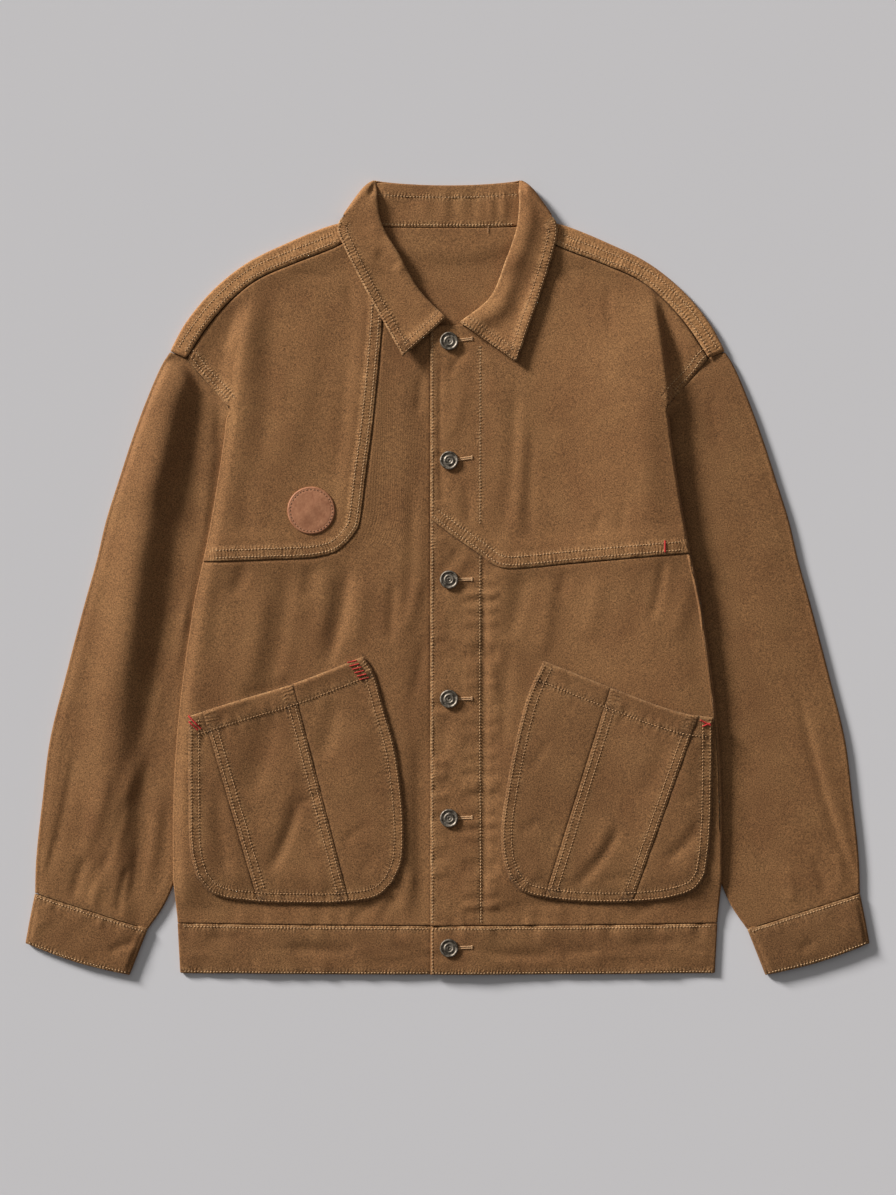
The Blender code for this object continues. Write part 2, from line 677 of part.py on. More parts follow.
def collar_ring(name, leaves, corner, end, back_first, back_last, tops, under, rows, flange):
    """A band folded flat round the neck: its back half below, its front halves above.

    Columns run from the right front, round the back, to the left front; rows run from the
    roll to the far edge.
    """
    corner, end = np.array(corner, float), np.array(end, float)
    way = (end - corner) / np.linalg.norm(end - corner)
    out = np.array([-way[1], way[0]])
    stops = np.linspace(0, 1, rows)
    halves = {}
    high = tops(np.array([end[1]]))[0]
    radius = (high - under) / 2
    segment = corner + stops[:, None] * (end - corner) - radius * out
    for side, (sign, near, far) in leaves.items():
        count = 7
        near = curve((tuple(segment[0]),) + near, count)
        far = curve((tuple(segment[-1]),) + far, count)
        front = curve((tuple(near[-1]), tuple(far[-1])), rows)
        leaf = patch(segment, front, near, far)
        leaf = raised(leaf, tops(leaf[..., 1]))
        leaf = leaf.transpose(1, 0, 2)
        angle = np.linspace(math.pi / 2, -math.pi / 2, TURN_STEPS + 1)[1:-1]
        arc = np.zeros((rows, len(angle), 3))
        arc[..., :2] = segment[:, None] + radius * np.cos(angle)[None, :, None] * out
        arc[..., 2] = under + radius + radius * np.sin(angle)
        half = np.concatenate([arc[:, ::-1], leaf], axis=1)
        halves[side] = half * np.array([sign, 1, 1])
    across = np.linspace(-1, 1, 6)
    first = np.stack([across * segment[0, 0], back_first(across * segment[0, 0])], 1)
    last = np.stack([across * segment[-1, 0], back_last(across * segment[-1, 0])], 1)
    side_left = segment.copy()
    first[-1], last[-1] = side_left[0], side_left[-1]
    first[0], last[0] = side_left[0] * (-1, 1), side_left[-1] * (-1, 1)
    behind = raised(patch(first, last, side_left * (-1, 1), side_left), float(under))
    grid = np.concatenate([halves["right"][:, ::-1], behind, halves["left"]], axis=1)
    if flange:
        grid = with_flange(grid, flange)
    return sheet(name, grid[:, ::-1])


def with_flange(grid, reach):
    """Rows before the first that turn square to the band, towards its inside."""
    along = np.gradient(grid[0], axis=0)
    down = grid[1] - grid[0]
    inward = np.cross(down, along)
    inward = inward / np.linalg.norm(inward, axis=1)[:, None]
    down = down / np.linalg.norm(down, axis=1)[:, None]
    soft = 1.5
    rows = [grid[0] + reach * inward,
            grid[0] + soft * inward,
            grid[0] + soft * (1 - math.sin(math.pi / 4)) * (inward + down)]
    body = grid.copy()
    body[0] = grid[0] + soft * down
    return np.concatenate([np.array(rows), body])


def collar_fall():
    def tops(y):
        return LEAF_LOW + (LEAF_HIGH - LEAF_LOW) * smooth((y - 280) / 20)

    def roll(x):
        return ROLL_BACK + (ROLL_CORNER[1] - 2 - ROLL_BACK) * (x / ROLL_CORNER[0]) ** 2

    def outer(x):
        return FALL_BACK + (FALL_CORNER[1] - FALL_BACK) * (x / FALL_CORNER[0]) ** 2

    return collar_ring("collar_fall", LEAVES, ROLL_CORNER, FALL_CORNER, roll, outer, tops, 0, 4, FLANGE)


def collar_stand():
    """The stand: seen from inside behind the neck, hidden under the leaves in front."""
    corner, end = (70.6, 369.4), (90.8, 335.6)
    leaves = {}
    for side, (sign, roll, far) in LEAVES.items():
        (x0, y0), (x1, y1) = roll[-2:]
        front = (x0 + 0.5 * (x1 - x0) + 2.4, y0 + 0.5 * (y1 - y0) - 2.2)
        near = tuple((x + 2, y - 1.2) for x, y in roll[:-1]) + (front,)
        seam = tuple((x - 1.7, y + 1.1) for x, y in NECK[2:-1][::-1]) + ((30, 244),)
        leaves[side] = (sign, near, seam)

    def tops(y):
        return STAND_TOP + 0 * y

    def roll_edge(x):
        return ROLL_BACK - WALL - GAP + 1.5 * (x / corner[0]) ** 2

    def neck_edge(x):
        return NECK_BACK + GAP + 5 * (x / end[0]) ** 4

    return collar_ring("collar_stand", leaves, corner, end, roll_edge, neck_edge, tops, STAND_UNDER,
                       4, 0)


def pocket_panels(side, height):
    """A patch pocket's three panels, side by side, on its front."""
    shape = POCKETS[side]
    sign = -1 if side == "right" else 1
    (top_a, low_a), (top_b, low_b) = shape["seams"]
    counts = (3, 5, 4)
    rows = (0, 0.15, 0.35, 0.6, 0.8, 0.94, 1)

    def shares(a, b):
        spans = ((0, a), (a, b), (b, 1))
        return [np.linspace(lo, hi, count) for (lo, hi), count in zip(spans, counts)]

    tops, lows = shares(top_a, top_b), shares(low_a, low_b)
    all_top = np.unique(np.concatenate(tops))
    all_low = np.unique(np.concatenate(lows))
    top = curve(shape["top"], all_top)
    bottom = curve(shape["bottom"], all_low)
    outer, inner = curve(shape["outer"], rows), curve(shape["inner"], rows)
    outer[0], outer[-1], inner[0], inner[-1] = top[0], bottom[0], top[-1], bottom[-1]
    cuts = np.cumsum([0] + [count - 1 for count in counts])
    down = np.array(rows)[:, None]
    seams = [top[k] + down * (bottom[k] - top[k]) for k in cuts[1:-1]]
    edges = [outer, *seams, inner]
    for k, place in enumerate(("outer", "middle", "inner")):
        span = slice(cuts[k], cuts[k + 1] + 1)
        piece = patch(top[span], bottom[span], edges[k], edges[k + 1])
        if k > 0:
            piece[:, 0, 0] -= sign * GAP / 2
        if k < 2:
            piece[:, -1, 0] += sign * GAP / 2
        grid = raised(piece, height(piece[..., 0], piece[..., 1]) + LAYER)
        if sign > 0:
            grid = grid[:, ::-1]
        sheet(f"pocket_{side}_{place}", grid)


def turned(name, centre, profile, sides, finish):
    """A round solid from its profile: radius and height, from the bottom centre to the top centre."""
    vertices, faces = [], []
    for radius, z in profile[1:-1]:
        for k in range(sides):
            angle = 2 * math.pi * k / sides
            vertices.append((centre[0] + radius * math.cos(angle), centre[1] + radius * math.sin(angle), z))
    rings = len(profile) - 2
    for i in range(rings - 1):
        for k in range(sides):
            n = (k + 1) % sides
            faces.append((i * sides + k, i * sides + n, (i + 1) * sides + n, (i + 1) * sides + k))
    faces.append(tuple(reversed(range(sides))))
    faces.append(tuple(range((rings - 1) * sides, rings * sides)))
    return solid(name, vertices, faces, finish)


def button(number, y, over):
    """A shank button: its post passes the buttonhole and stands on the under front."""
    foot = float(under_front(np.array(BUTTON_X), np.array(max(float(y), HEM_TOP)))) + GAP
    cloth = float(over(np.array(BUTTON_X), np.array(max(float(y), HEM_TOP))))
    rim = cloth + 0.5
    profile = ((0, foot), (2.2, foot), (2.2, rim), (7.6, rim), (BUTTON_RADIUS, rim + 0.9),
               (BUTTON_RADIUS - 0.5, rim + 2.2), (BUTTON_RADIUS - 2.2, rim + 2.5), (0, rim + 2.5))
    return turned(f"button_{number}", (BUTTON_X, y), profile, 14, METAL)


def buttonhole(owner, y):
    """A slot through the over front, round the button's post."""
    ends = []
    for k in range(12):
        angle = 2 * math.pi * k / 12
        shift = 2.0 if math.cos(angle) > 0 else -0.5
        ends.append((BUTTON_X + shift + 3.1 * math.cos(angle), y + 3.1 * math.sin(angle)))
    vertices = [(x, yy, 3.0) for x, yy in ends] + [(x, yy, 11.0) for x, yy in ends]
    faces = [tuple(reversed(range(12))), tuple(range(12, 24))]
    faces += [(k, (k + 1) % 12, 12 + (k + 1) % 12, 12 + k) for k in range(12)]
    cutter = solid(f"cut_{owner.name}_{abs(int(y))}", vertices, faces, CLOTH)
    cutter.hide_render = True
    cutter.display_type = "WIRE"
    cut = owner.modifiers.new("buttonhole", "BOOLEAN")
    cut.object = cutter
    cut.operation = "DIFFERENCE"
    cut.solver = "EXACT"


def badge():
    """A plain round leather patch on the chest panel."""
    x, y = BADGE_CENTRE
    angle = np.linspace(0, 2 * math.pi, 24)
    rim = chest_top(x + BADGE_RADIUS * np.cos(angle), y + BADGE_RADIUS * np.sin(angle))
    low = float(rim.max()) + GAP
    top = low + BADGE_THICKNESS
    profile = ((0, low), (BADGE_RADIUS, low), (BADGE_RADIUS, top - 0.4), (BADGE_RADIUS - 0.4, top),
               (0, top))
    return turned("badge", BADGE_CENTRE, profile, 20, LEATHER)


def build():
    for old in list(bpy.data.objects):
        bpy.data.objects.remove(old)
    back()
    front_right()
    chest_panel_right()
    yoke = yoke_left()
    over = front_left()
    for name, side in (("left", 1), ("right", -1)):
        sleeve(f"sleeve_{name}", side)
        cuff(f"cuff_{name}", side)
    band = hem_band()
    collar_fall()
    collar_stand()
    pocket_panels("right", under_front)
    pocket_panels("left", over_front)
    owners = (yoke, yoke, over, over, over, band)
    heights = (yoke_top, yoke_top, over_front, over_front, over_front, over_front)
    for number, (y, owner, height) in enumerate(zip(BUTTON_YS, owners, heights), 1):
        button(number, y, height)
        buttonhole(owner, y)
    badge()


build()
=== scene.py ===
import math
import bpy
import numpy as np
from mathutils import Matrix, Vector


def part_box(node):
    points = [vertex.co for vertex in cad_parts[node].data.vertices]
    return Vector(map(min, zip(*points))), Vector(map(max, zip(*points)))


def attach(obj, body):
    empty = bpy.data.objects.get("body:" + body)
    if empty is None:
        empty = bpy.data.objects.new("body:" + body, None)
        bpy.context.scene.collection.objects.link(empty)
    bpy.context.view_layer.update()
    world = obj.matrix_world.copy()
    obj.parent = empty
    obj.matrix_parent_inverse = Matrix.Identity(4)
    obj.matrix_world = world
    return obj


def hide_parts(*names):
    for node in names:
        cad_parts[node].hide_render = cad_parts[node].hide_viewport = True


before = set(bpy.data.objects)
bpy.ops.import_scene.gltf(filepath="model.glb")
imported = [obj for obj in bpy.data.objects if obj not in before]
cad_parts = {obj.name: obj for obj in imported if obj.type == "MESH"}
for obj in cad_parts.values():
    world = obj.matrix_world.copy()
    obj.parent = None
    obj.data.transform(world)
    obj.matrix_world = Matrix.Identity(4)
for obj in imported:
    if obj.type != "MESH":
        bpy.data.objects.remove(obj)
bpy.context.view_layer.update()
print("frame loaded:", len(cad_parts), "nodes")

# All sizes are millimetres; a mesh is written in metres.
# +X is the wearer's left, +Y points to the collar, the table is z = 0.
metre = 0.001
cloth = {
    "wall": 1.4,           # thickness
    "layer": 1.7,          # what one more layer adds
    "step": 2.3,           # mesh step on what shows
    "bodyTop": 4.0,        # outside of the fronts over the back
    "sideRise": 3.2,       # height of a folded edge
    "lap": 11,             # allowance under a lapped edge
    "halfGap": 0.15,       # from a seam to the edge of either piece
    "farOff": 60.0,        # a distance at which no seam shows
    "underside": 1.5,      # height below which a closed piece shows no seam
}
# how light each piece's cloth is, by the sign of x where the sides differ: 1 for the twill's own colours,
# partly the cloth's own tone and partly painted light and shade, the +x side, away from the lamps, painted
# darker
tonesAndShade = {
    "back": 1.01, "strips": 1.38, "frontRight": 0.95, "chest": 1.01, "yoke": 0.99, "frontLeft": 0.92,
    "sleeve": {-1: 0.91, 1: 0.885}, "cuff": {-1: 0.84, 1: 0.68}, "hem": 0.81, "fall": 1.1, "stand": 1.04,
    "pocket": {-1: 0.9, 1: 0.83},
}
garment = {
    "centreUnder": 20, "centreOver": -16,      # x of the two fronts' free edges
    "placketEnd": 25, "placketFall": 70,       # where the over front comes down to one layer, and how slowly
    "placketRow": 31,                          # x of the row of stitches that holds the facing
    "hemTop": -325, "hemBottom": -372, "hemSag": 2.5, "hemHalf": 252,
    # y where the side's crease begins, becomes a fold, and has rolled under; the width of the climb to it
    "creaseStart": 275, "foldStart": 159, "rollStart": 161, "turnStart": 146, "sideRamp": 85,
    # y at the back of the neck: the fall's edge, the stand's seam and the roll, and how much that sags
    "fallBack": 312, "neckBack": 329, "rollBack": 369, "rollSag": 4.0,
    "stripLow": 4.7,                           # height of the shoulder strips at their fold
}
rollCorner = (68.5, 374)
fallCorner = (94, 337.5)

# y, fold, seam, under, ends: where the front folds under, the seam it is turned back to,
# and the underside there and at the seam
sideTable = (
    (159, 207, 205, 3.5, 3.5), (131, 210, 196, 3.5, 3.5), (78, 218, 187, 3.5, 3.5),
    (33, 226, 183, 3.5, 3.5), (-28, 239, 180, 3.5, 3.5), (-42, 241, 182, 3.5, 0.0),
    (-68, 245, 188, 3.5, 0.0), (-115, 251, 200, 3.5, 0.0), (-172, 256, 216, 3.5, 0.0),
    (-228, 258, 232, 3.5, 0.0), (-265, 258, 242, 3.5, 0.0), (-282, 258, 246, 3.4, 0.0),
    (-292, 257, 247, 2.8, 0.0), (-302, 256, 247, 1.7, 0.0), (-312, 255, 247, 0.5, 0.0),
    (-322, 254, 246, 0.1, 0.0), (-328, 254, 246, 0.0, 0.0))
creaseTable = ((275, 188), (250, 195), (190, 204), (159, 207))
# fold x, fold y, seam x, seam y of the shoulder, where the back wraps to the front
shoulderTable = (
    (94.5, 334.5, 91, 319), (110, 331, 106, 311), (150, 315, 144, 296), (190, 295, 180, 280),
    (222, 269, 206, 259), (246, 240, 226, 236), (261, 213, 245.5, 206.5))
armhole = ((261, 212), (245, 206), (234, 192), (205, 159), (196, 131), (187, 78), (183, 33),
           (180, -8), (187, -22))
sleeveOuter = ((261, 212), (267, 203), (283, 167), (297, 129), (309, 92), (321, 54), (330, 16),
               (342, -27), (360, -96), (374, -153), (381, -209), (387, -266), (388, -297))
sleeveInner = ((187, -22), (195, -45), (211, -115), (227, -172), (243, -228), (257, -286),
               (267, -309), (282, -331))
cuffOuter = ((388, -297), (393, -322), (397, -344))
cuffInner = ((282, -331), (288, -346), (299, -374))
cuffHead = (cuffOuter[0], cuffInner[0])
cuffEnd = ((397, -344), (349, -361.5), (299, -374))
neckLine = ((12, 237.5), (26, 239), (45, 249), (64, 265.5), (80, 290), (90, 318), (92.5, 334))
chestInner = ((-60, 263), (-62, 234), (-65, 200), (-71, 141), (-77, 97), (-82, 56), (-84, 47))
chestLower = ((-84, 47), (-90, 38), (-104, 25), (-120, 20), (-166, 17), (-225.3, 15))
yokeLower = ((-16, 55), (4, 40), (31, 21), (45, 11), (56, 8.4), (78, 9.6), (106, 12.5), (167, 18),
             (227, 23))
leafEdges = {   # by the sign of x: the roll edge and the outer edge, from the shoulder to the front
    1: (((65, 331), (54, 297), (40, 264), (11, 240)),
        ((101.5, 334.5), (103.5, 326), (102, 316), (65, 202))),
    -1: (((62, 334), (45, 303), (26, 270), (1, 244)),
         ((101.5, 334.5), (103.5, 326.5), (98, 312), (42, 207)))}
standCorner, standEnd = (69.3, 371.4), (90.8, 335.6)   # the stand's fold at the shoulder
shoulderSewn = tuple(row[2:] for row in shoulderTable)


# Shared maths: every function takes whole arrays.

def smooth(t):   # 0 below 0, 1 above 1, and 3t^2 - 2t^3 between
    t = np.clip(t, 0, 1)
    return t * t * (3 - 2 * t)


def through(t, values, at):   # cubic with central-difference tangents through the values
    t, values = np.asarray(t, float), np.asarray(values, float)
    step = np.diff(values, axis=0) / np.diff(t)[:, None]
    tangents = np.concatenate([step[:1], (step[1:] + step[:-1]) / 2, step[-1:]])
    k = np.clip(np.searchsorted(t, at, side="right") - 1, 0, len(t) - 2)
    width = (t[k + 1] - t[k])[:, None]
    f = (at - t[k])[:, None] / width
    return ((1 + 2 * f) * (1 - f) ** 2 * values[k] + f * (1 - f) ** 2 * width * tangents[k]
            + f * f * (3 - 2 * f) * values[k + 1] + f * f * (f - 1) * width * tangents[k + 1])


def arcs(points):   # length along a polyline at each of its points
    steps = np.linalg.norm(np.diff(points, axis=0), axis=1)
    return np.concatenate([[0], np.cumsum(steps)])


def shares(points):   # the same as shares of the whole length
    along = arcs(points)
    return along / along[-1]


def readAt(points, along, at):   # a polyline's points where the measure along it is at, on straight runs
    return np.stack([np.interp(at, along, column) for column in points.T], 1)


def curve(points, stops):   # the cubic through the points, read at shares of its own length
    points = np.asarray(points, float)
    fine = through(shares(points), points, np.linspace(0, 1, 40 * len(points)))
    return readAt(fine, shares(fine), stops)


def drawn(points, count):   # the same at even steps
    return curve(points, np.linspace(0, 1, count))


def lengthOf(points):   # of the cubic through them
    return arcs(drawn(points, 80))[-1]


def stopsFor(length, step, near=(0.4, 1.0, 2.0), ends=(True, True)):
    # shares of a length: tight beside an edge that is rounded, even between
    low = np.array((0,) + near[:-1]) if ends[0] else np.zeros(1)
    high = length - low[::-1] if ends[1] else np.array([length])
    start = near[-1] if ends[0] else step
    stop = length - (near[-1] if ends[1] else step)
    count = max(2, int(round((stop - start) / step)) + 1)
    return np.concatenate([low, np.linspace(start, stop, count), high]) / length


def patch(first, last, start, end):   # Coons patch: blend of opposite edges less the corners' blend
    u = (shares(first) + shares(last))[None, :, None] / 2
    v = (shares(start) + shares(end))[:, None, None] / 2
    corners = ((1 - u) * (1 - v) * first[0] + u * (1 - v) * first[-1]
               + (1 - u) * v * last[0] + u * v * last[-1])
    return (1 - v) * first + v * last + (1 - u) * start[:, None] + u * end[:, None] - corners


def tableCurve(table, column, y):   # a table's column at heights y, on the cubic through its rows
    rows = np.array(table, float)[::-1]
    y = np.asarray(y, float)
    at = np.clip(y, rows[0, 0], rows[-1, 0]).ravel()
    return through(rows[:, 0], rows[:, column:column + 1], at).reshape(y.shape)


def tableLine(table, column, y):   # the same on straight runs
    rows = np.array(table, float)[::-1]
    return np.interp(y, rows[:, 0], rows[:, column])


def raised(plan, z):   # points in plan, given their height
    return np.concatenate([plan, np.broadcast_to(z, plan.shape[:-1])[..., None]], axis=-1)


def softNoise(x, y, size, seed):
    # numbers from -1 to 1 on a square lattice of this size, blended by the smooth step
    table = np.random.default_rng(seed).uniform(-1, 1, (96, 96))
    gx, gy = x / size + 40.37, y / size + 40.71
    i, j = np.floor(gx).astype(int), np.floor(gy).astype(int)
    fx, fy = smooth(gx - i), smooth(gy - j)
    i0, i1, j0, j1 = i % 96, (i + 1) % 96, j % 96, (j + 1) % 96
    low = table[i0, j0] * (1 - fx) + table[i1, j0] * fx
    high = table[i0, j1] * (1 - fx) + table[i1, j1] * fx
    return low * (1 - fy) + high * fy


def alongLine(x, y, points):
    # nearest place on a polyline: distance from it, positive to the left of its run, and length before it
    points = np.asarray(points, float)
    before = arcs(points)[:-1]
    best = np.full(x.shape, 1e9)
    place = np.zeros(x.shape)
    side = np.ones(x.shape)
    for (ax, ay), (bx, by), start in zip(points[:-1], points[1:], before):
        run = math.hypot(bx - ax, by - ay)
        ux, uy = (bx - ax) / run, (by - ay) / run
        ahead = np.clip((x - ax) * ux + (y - ay) * uy, 0, run)
        dx, dy = x - ax - ahead * ux, y - ay - ahead * uy
        away = np.hypot(dx, dy)
        near = away < best
        best = np.where(near, away, best)
        place = np.where(near, start + ahead, place)
        side = np.where(near, np.sign(ux * dy - uy * dx), side)
    return best * side, place


def folds(table, x, y, gain=1.0, spread=1.0):
    # sum of soft ridges and troughs: height x exp(-(d/width)^2) along a bowed run, its ends tapered,
    # and one flank steeper by the lean
    total = np.zeros_like(x)
    for x0, y0, x1, y1, bow, width, height, lean in table:
        run = math.hypot(x1 - x0, y1 - y0)
        ux, uy = (x1 - x0) / run, (y1 - y0) / run
        ahead = ((x - x0) * ux + (y - y0) * uy) / run
        aside = (x - x0) * uy - (y - y0) * ux - bow * 4 * ahead * (1 - ahead)
        reach = spread * width * (1 + lean * np.tanh(aside / width))
        taper = smooth(ahead / 0.28 + 0.15) * smooth((1 - ahead) / 0.28 + 0.15)
        total += gain * height * taper * np.exp(-(aside / reach) ** 2)
    return total


def band(value, start, width, end, fade):
    # 1 between start and end, rising over a width and fading over another
    return smooth((value - start) / width + 0.5) * (1 - smooth((value - end) / fade))


def rungs(x, y, points, inner, outer, period, depth, seed):
    # puckers across a seam: noise along it, of this period, between two distances from it
    d, s = alongLine(x, y, points)
    wave = softNoise(s, np.zeros_like(s) + seed, period * 0.62, seed)
    return depth * band(np.abs(d), inner, 2.5, outer, 5) * wave


# Folds: x0, y0, x1, y1, bow, width, height (below 0 is a trough), lean
sleeveRightFolds = (
    (-261, 204, -292, 54, -2, 25, 4.4, 0.3),
    (-289, 73, -323, -134, -4, 25, 3.0, 0.25),
    (-319, -96, -340, -246, -2, 22, 1.3, 0.2),
    (-266, -12, -290, -172, -3, 9, -0.9, 0),
    (-221, 172, -227, 16, 2, 9, 1.0, 0),
    (-215, 169, -211, 118, 0, 5, -1.2, 0),
    (-245, -20, -266, -120, -4, 8, 0.8, 0),
    (-255, -75, -286, -205, -4, 7, -0.8, 0),
    (-271, -90, -302, -215, -4, 8, 1.0, 0.1),
    (-293, -165, -322, -268, -3, 7, 1.1, 0),
    (-303, -205, -334, -296, -3, 6, -1.3, 0.2),
    (-318, -180, -347, -270, -3, 8, 0.9, 0.2),
    (-285, -215, -300, -308, -4, 6, -1.3, 0),
    (-272, -190, -283, -285, -3, 8, 0.9, 0),
    (-262, -215, -276, -305, -3, 6, -0.9, 0),
    (-350, -160, -380, -290, -3, 4.5, -0.8, -0.3),
    (-339, -262, -351, -303, 2, 5, -1.0, 0),
    (-322, -270, -333, -314, 2, 5, 0.9, 0),
    (-300, -270, -309, -318, 2, 4, -1.0, 0),
    (-235, 40, -248, -60, -3, 10, 0.8, 0),
)
sleeveLeftFolds = (
    (330, -100, 384, -288, 6, 4, -1.1, 0.3),
    (345, -120, 390, -280, 6, 6, 0.6, 0),
    (249, 174, 258, 120, 3, 4.7, -0.7, 0),
    (228, 165, 237, 92, 2, 4.7, -0.8, 0),
    (290, 73, 318, -109, 5, 22, 0.5, 0),
    (280, -209, 308, -284, 6, 7.5, -0.5, 0),
    (343, -264, 356, -301, -2, 4.7, -0.9, 0),
    (318, -271, 324, -307, -2, 5.6, 0.6, 0),
    (367, -256, 371, -292, 0, 4.7, 0.7, 0),
)
chestFolds = (
    (-203, 261, -219, 212, -3, 6.6, -2.2, 0),
    (-213, 265, -225, 233, 0, 3.8, 0.8, 0),
    (-212, 212, -197, 199, 0, 4.7, -0.5, 0),
    (-96, 275, -80, 244, 2, 4.7, -0.7, 0),
    (-148, 287, -105, 283, 1, 3.8, -0.5, 0),
    (-122, 261, -156, 101, -5, 15, 0.8, 0.2),
    (-167, 270, -180, 92, -4, 11.3, -0.75, 0),
    (-92, 223, -103, 73, -4, 11.3, -0.35, 0),
    (-174, 261, -139, 233, 3, 7.5, -0.3, 0),
    (-186, 101, -188, 31, 2, 8.5, -0.4, 0),
    (-139, 101, -110, 87, 0, 7.5, -0.3, 0),
)
frontRightFolds = (
    (-24, 193, -28, 152, 0, 3.8, -0.8, 0),
    (-33, 92, -41, -59, -2, 4.7, -0.5, 0),
    (-21, 101, -25, -21, 1, 4.7, 0.4, 0),
    (-189, 15, -203, -17, -2, 5.6, -0.9, 0),
    (-151, 11, -173, -115, -5, 8.5, -1.3, 0.15),
    (-174, -12, -191, -106, -3, 9.4, 0.8, 0.2),
    (-94, 13, -115, -85, -4, 5.6, -1.7, 0.2),
    (-80, 2, -90, -68, -2, 7.5, 0.8, 0),
    (-127, 11, -133, -21, 0, 5.6, -0.8, 0),
    (-114, 11, -122, -59, -2, 5.6, 0.7, 0),
    (-50, -2, -53, -63, 1, 3.8, -0.9, 0),
    (-26, 2, -43, -55, -2, 4.7, 0.8, 0),
    (-22, -59, -33, -115, -1, 3.8, -0.7, 0),
    (-28, -115, -18, -181, 1, 4.7, 0.5, 0),
    (-212, -2, -219, -78, 2, 6.6, -0.5, 0),
    (-139, -31, -142, -92, 0, 7.5, -0.4, 0),
    (-23, -143, -22, -322, 1, 6.5, -2.0, 0),
    (-67, -306, -92, -326, 2, 3.8, -0.9, 0),
    (-45, -297, -62, -324, 2, 3.8, -0.8, 0),
    (-32, -275, -40, -317, 1, 4.7, 0.7, 0),
    (-196, -114, -140, -97, 2, 7, -1.3, 0),
)
frontLeftFolds = (
    (36, 5, 36, -322, 1, 2.8, -1.1, 0.2),
    (72, 5, 55, -61, -2, 7.5, -1.2, 0.2),
    (58, -59, 51, -172, 0, 4.7, -0.8, 0),
    (97, 2, 85, -78, -2, 7.5, 0.9, 0.2),
    (111, 7, 106, -19, 0, 4.7, -0.7, 0),
    (143, 7, 130, -59, -2, 7.5, 0.7, 0.1),
    (203, 20, 190, -44, -2, 3.8, -1, 0.1),
    (228, 16, 211, -59, -3, 6.6, 0.7, 0),
    (181, 7, 172, -68, -2, 8.5, -0.4, 0),
    (21, 12, 17, -21, 0, 4.7, -0.4, 0),
    (14, 28, -9, 0, 0, 3.8, -1.1, 0),
    (21, -21, -2, -59, 2, 5.6, -0.4, 0),
    (0, -129, -7, -172, -2, 4.7, -0.6, 0),
    (26, -47, 4, -106, -3, 6.6, 0.4, 0),
    (7, -59, 21, -96, 0, 5.6, -0.4, 0),
    (106, -308, 49, -314, 3, 3.8, -0.8, 0),
    (195, -306, 170, -326, 2, 4.7, -0.8, 0),
    (37, -314, 94, -322, -2, 3.8, -0.9, 0),
    (242, -40, 249, -115, 2, 5.6, 0.5, -0.2),
)
yokeFolds = (
    (21, 216, 2, 188, 3, 3.8, -0.9, 0),
    (14, 186, 0, 129, -3, 6.6, 0.5, 0),
    (-6, 219, -6, 68, 1, 2.1, -0.7, 0),
    (-3, 101, -4, 68, 0, 2.8, -0.6, 0),
    (17, 94, 17, 31, -3, 3.8, -0.6, 0),
    (7, 82, 10, 45, 0, 4.7, 0.4, 0),
    (63, 193, 49, 31, -4, 7.5, -0.8, 0.1),
    (81, 139, 76, 28, 1, 5.6, -0.5, 0),
    (70, 167, 64, 35, -2, 5.6, 0.45, 0),
    (151, 275, 157, 228, 3, 4.7, -0.5, 0),
    (102, 289, 143, 297, 3, 4.7, -0.35, 0),
    (145, 62, 134, 31, 0, 3.8, -0.4, 0),
    (190, 204, 183, 31, -3, 13.2, 0.4, 0),
    (166, 73, 160, 28, 0, 4.7, -0.35, 0),
    (40, 214, 47, 148, 3, 6.6, 0.35, 0),
    (204, 265, 220, 186, 2, 6.6, -2.3, 0),
    (226, 244, 232, 214, 0, 3.8, 0.7, 0),
)
pocketRightFolds = (
    (-165, -126, -189, -209, -3, 8.5, -1.7, 0.2),
    (-142, -155, -172, -262, -4, 9.4, 1.2, 0.2),
    (-140, -207, -169, -279, -4, 3.8, -1.7, 0.2),
    (-120, -204, -141, -212, -1, 2.8, -0.8, 0),
    (-105, -115, -119, -172, -2, 5.6, -1.4, 0.2),
    (-86, -134, -95, -209, -3, 9.4, 0.7, 0),
    (-69, -232, -100, -250, 2, 2.8, -0.6, 0),
    (-62, -252, -80, -284, 2, 4.7, -0.6, 0),
    (-215, -190, -207, -288, 2, 4.7, -1, 0),
    (-203, -266, -197, -292, 0, 3.8, 0.5, 0),
    (-133, -249, -122, -243, 0, 3.8, -0.5, 0),
    (-227, -209, -225, -275, 0, 4.7, 0.5, 0),
    (-122, -266, -116, -296, 0, 4.7, 0.5, 0),
)
pocketLeftFolds = (
    (97, -151, 76, -183, 0, 2.8, -0.6, 0),
    (85, -230, 68, -239, 0, 3.8, -0.8, 0),
    (162, -232, 117, -292, -5, 3.8, -1.6, 0.2),
    (153, -226, 132, -267, -3, 5.6, 0.8, 0),
    (204, -151, 181, -209, -3, 5.6, -0.8, 0.1),
    (239, -228, 204, -267, -3, 3.8, -1.6, 0.2),
    (243, -245, 215, -284, -2, 5.6, 0.8, 0),
    (232, -205, 219, -209, 0, 3.8, -0.6, 0),
    (106, -228, 94, -256, 0, 4.7, -0.4, 0),
    (196, -200, 181, -256, -3, 8.5, 0.7, 0),
    (125, -115, 111, -209, -4, 11.3, 0.5, 0),
    (87, -266, 76, -288, 0, 4.7, 0.5, 0),
    (143, -284, 186, -277, 1, 3.8, -0.8, 0),
    (109, -86, 121, -105, 0, 2.5, -0.9, 0),
)


# The garment's heights: outside faces as functions of x and y.

relief = {
    "sideReach": 95,       # how far in the left side's ridge goes
    "sideRoll": 3.0,       # half width of a side fold's round edge
    "wander": 0.3,         # slow waves of the cloth
    "pucker": 0.34,        # height of the puckers along a seam
    "puckerLength": 9.5,   # from one pucker to the next
    "foldGain": 1.4,
    "bodyPuff": 1.7,       # how much the fronts stand off the back, away from the placket
    "floor": 3.1,          # no front sinks below this
    "tuck": 0.9,           # how much lower a layer lies where another hides it
    "swell": (0.85, 12),   # how much cloth stands up beside an edge that lies on it, and how far out
}


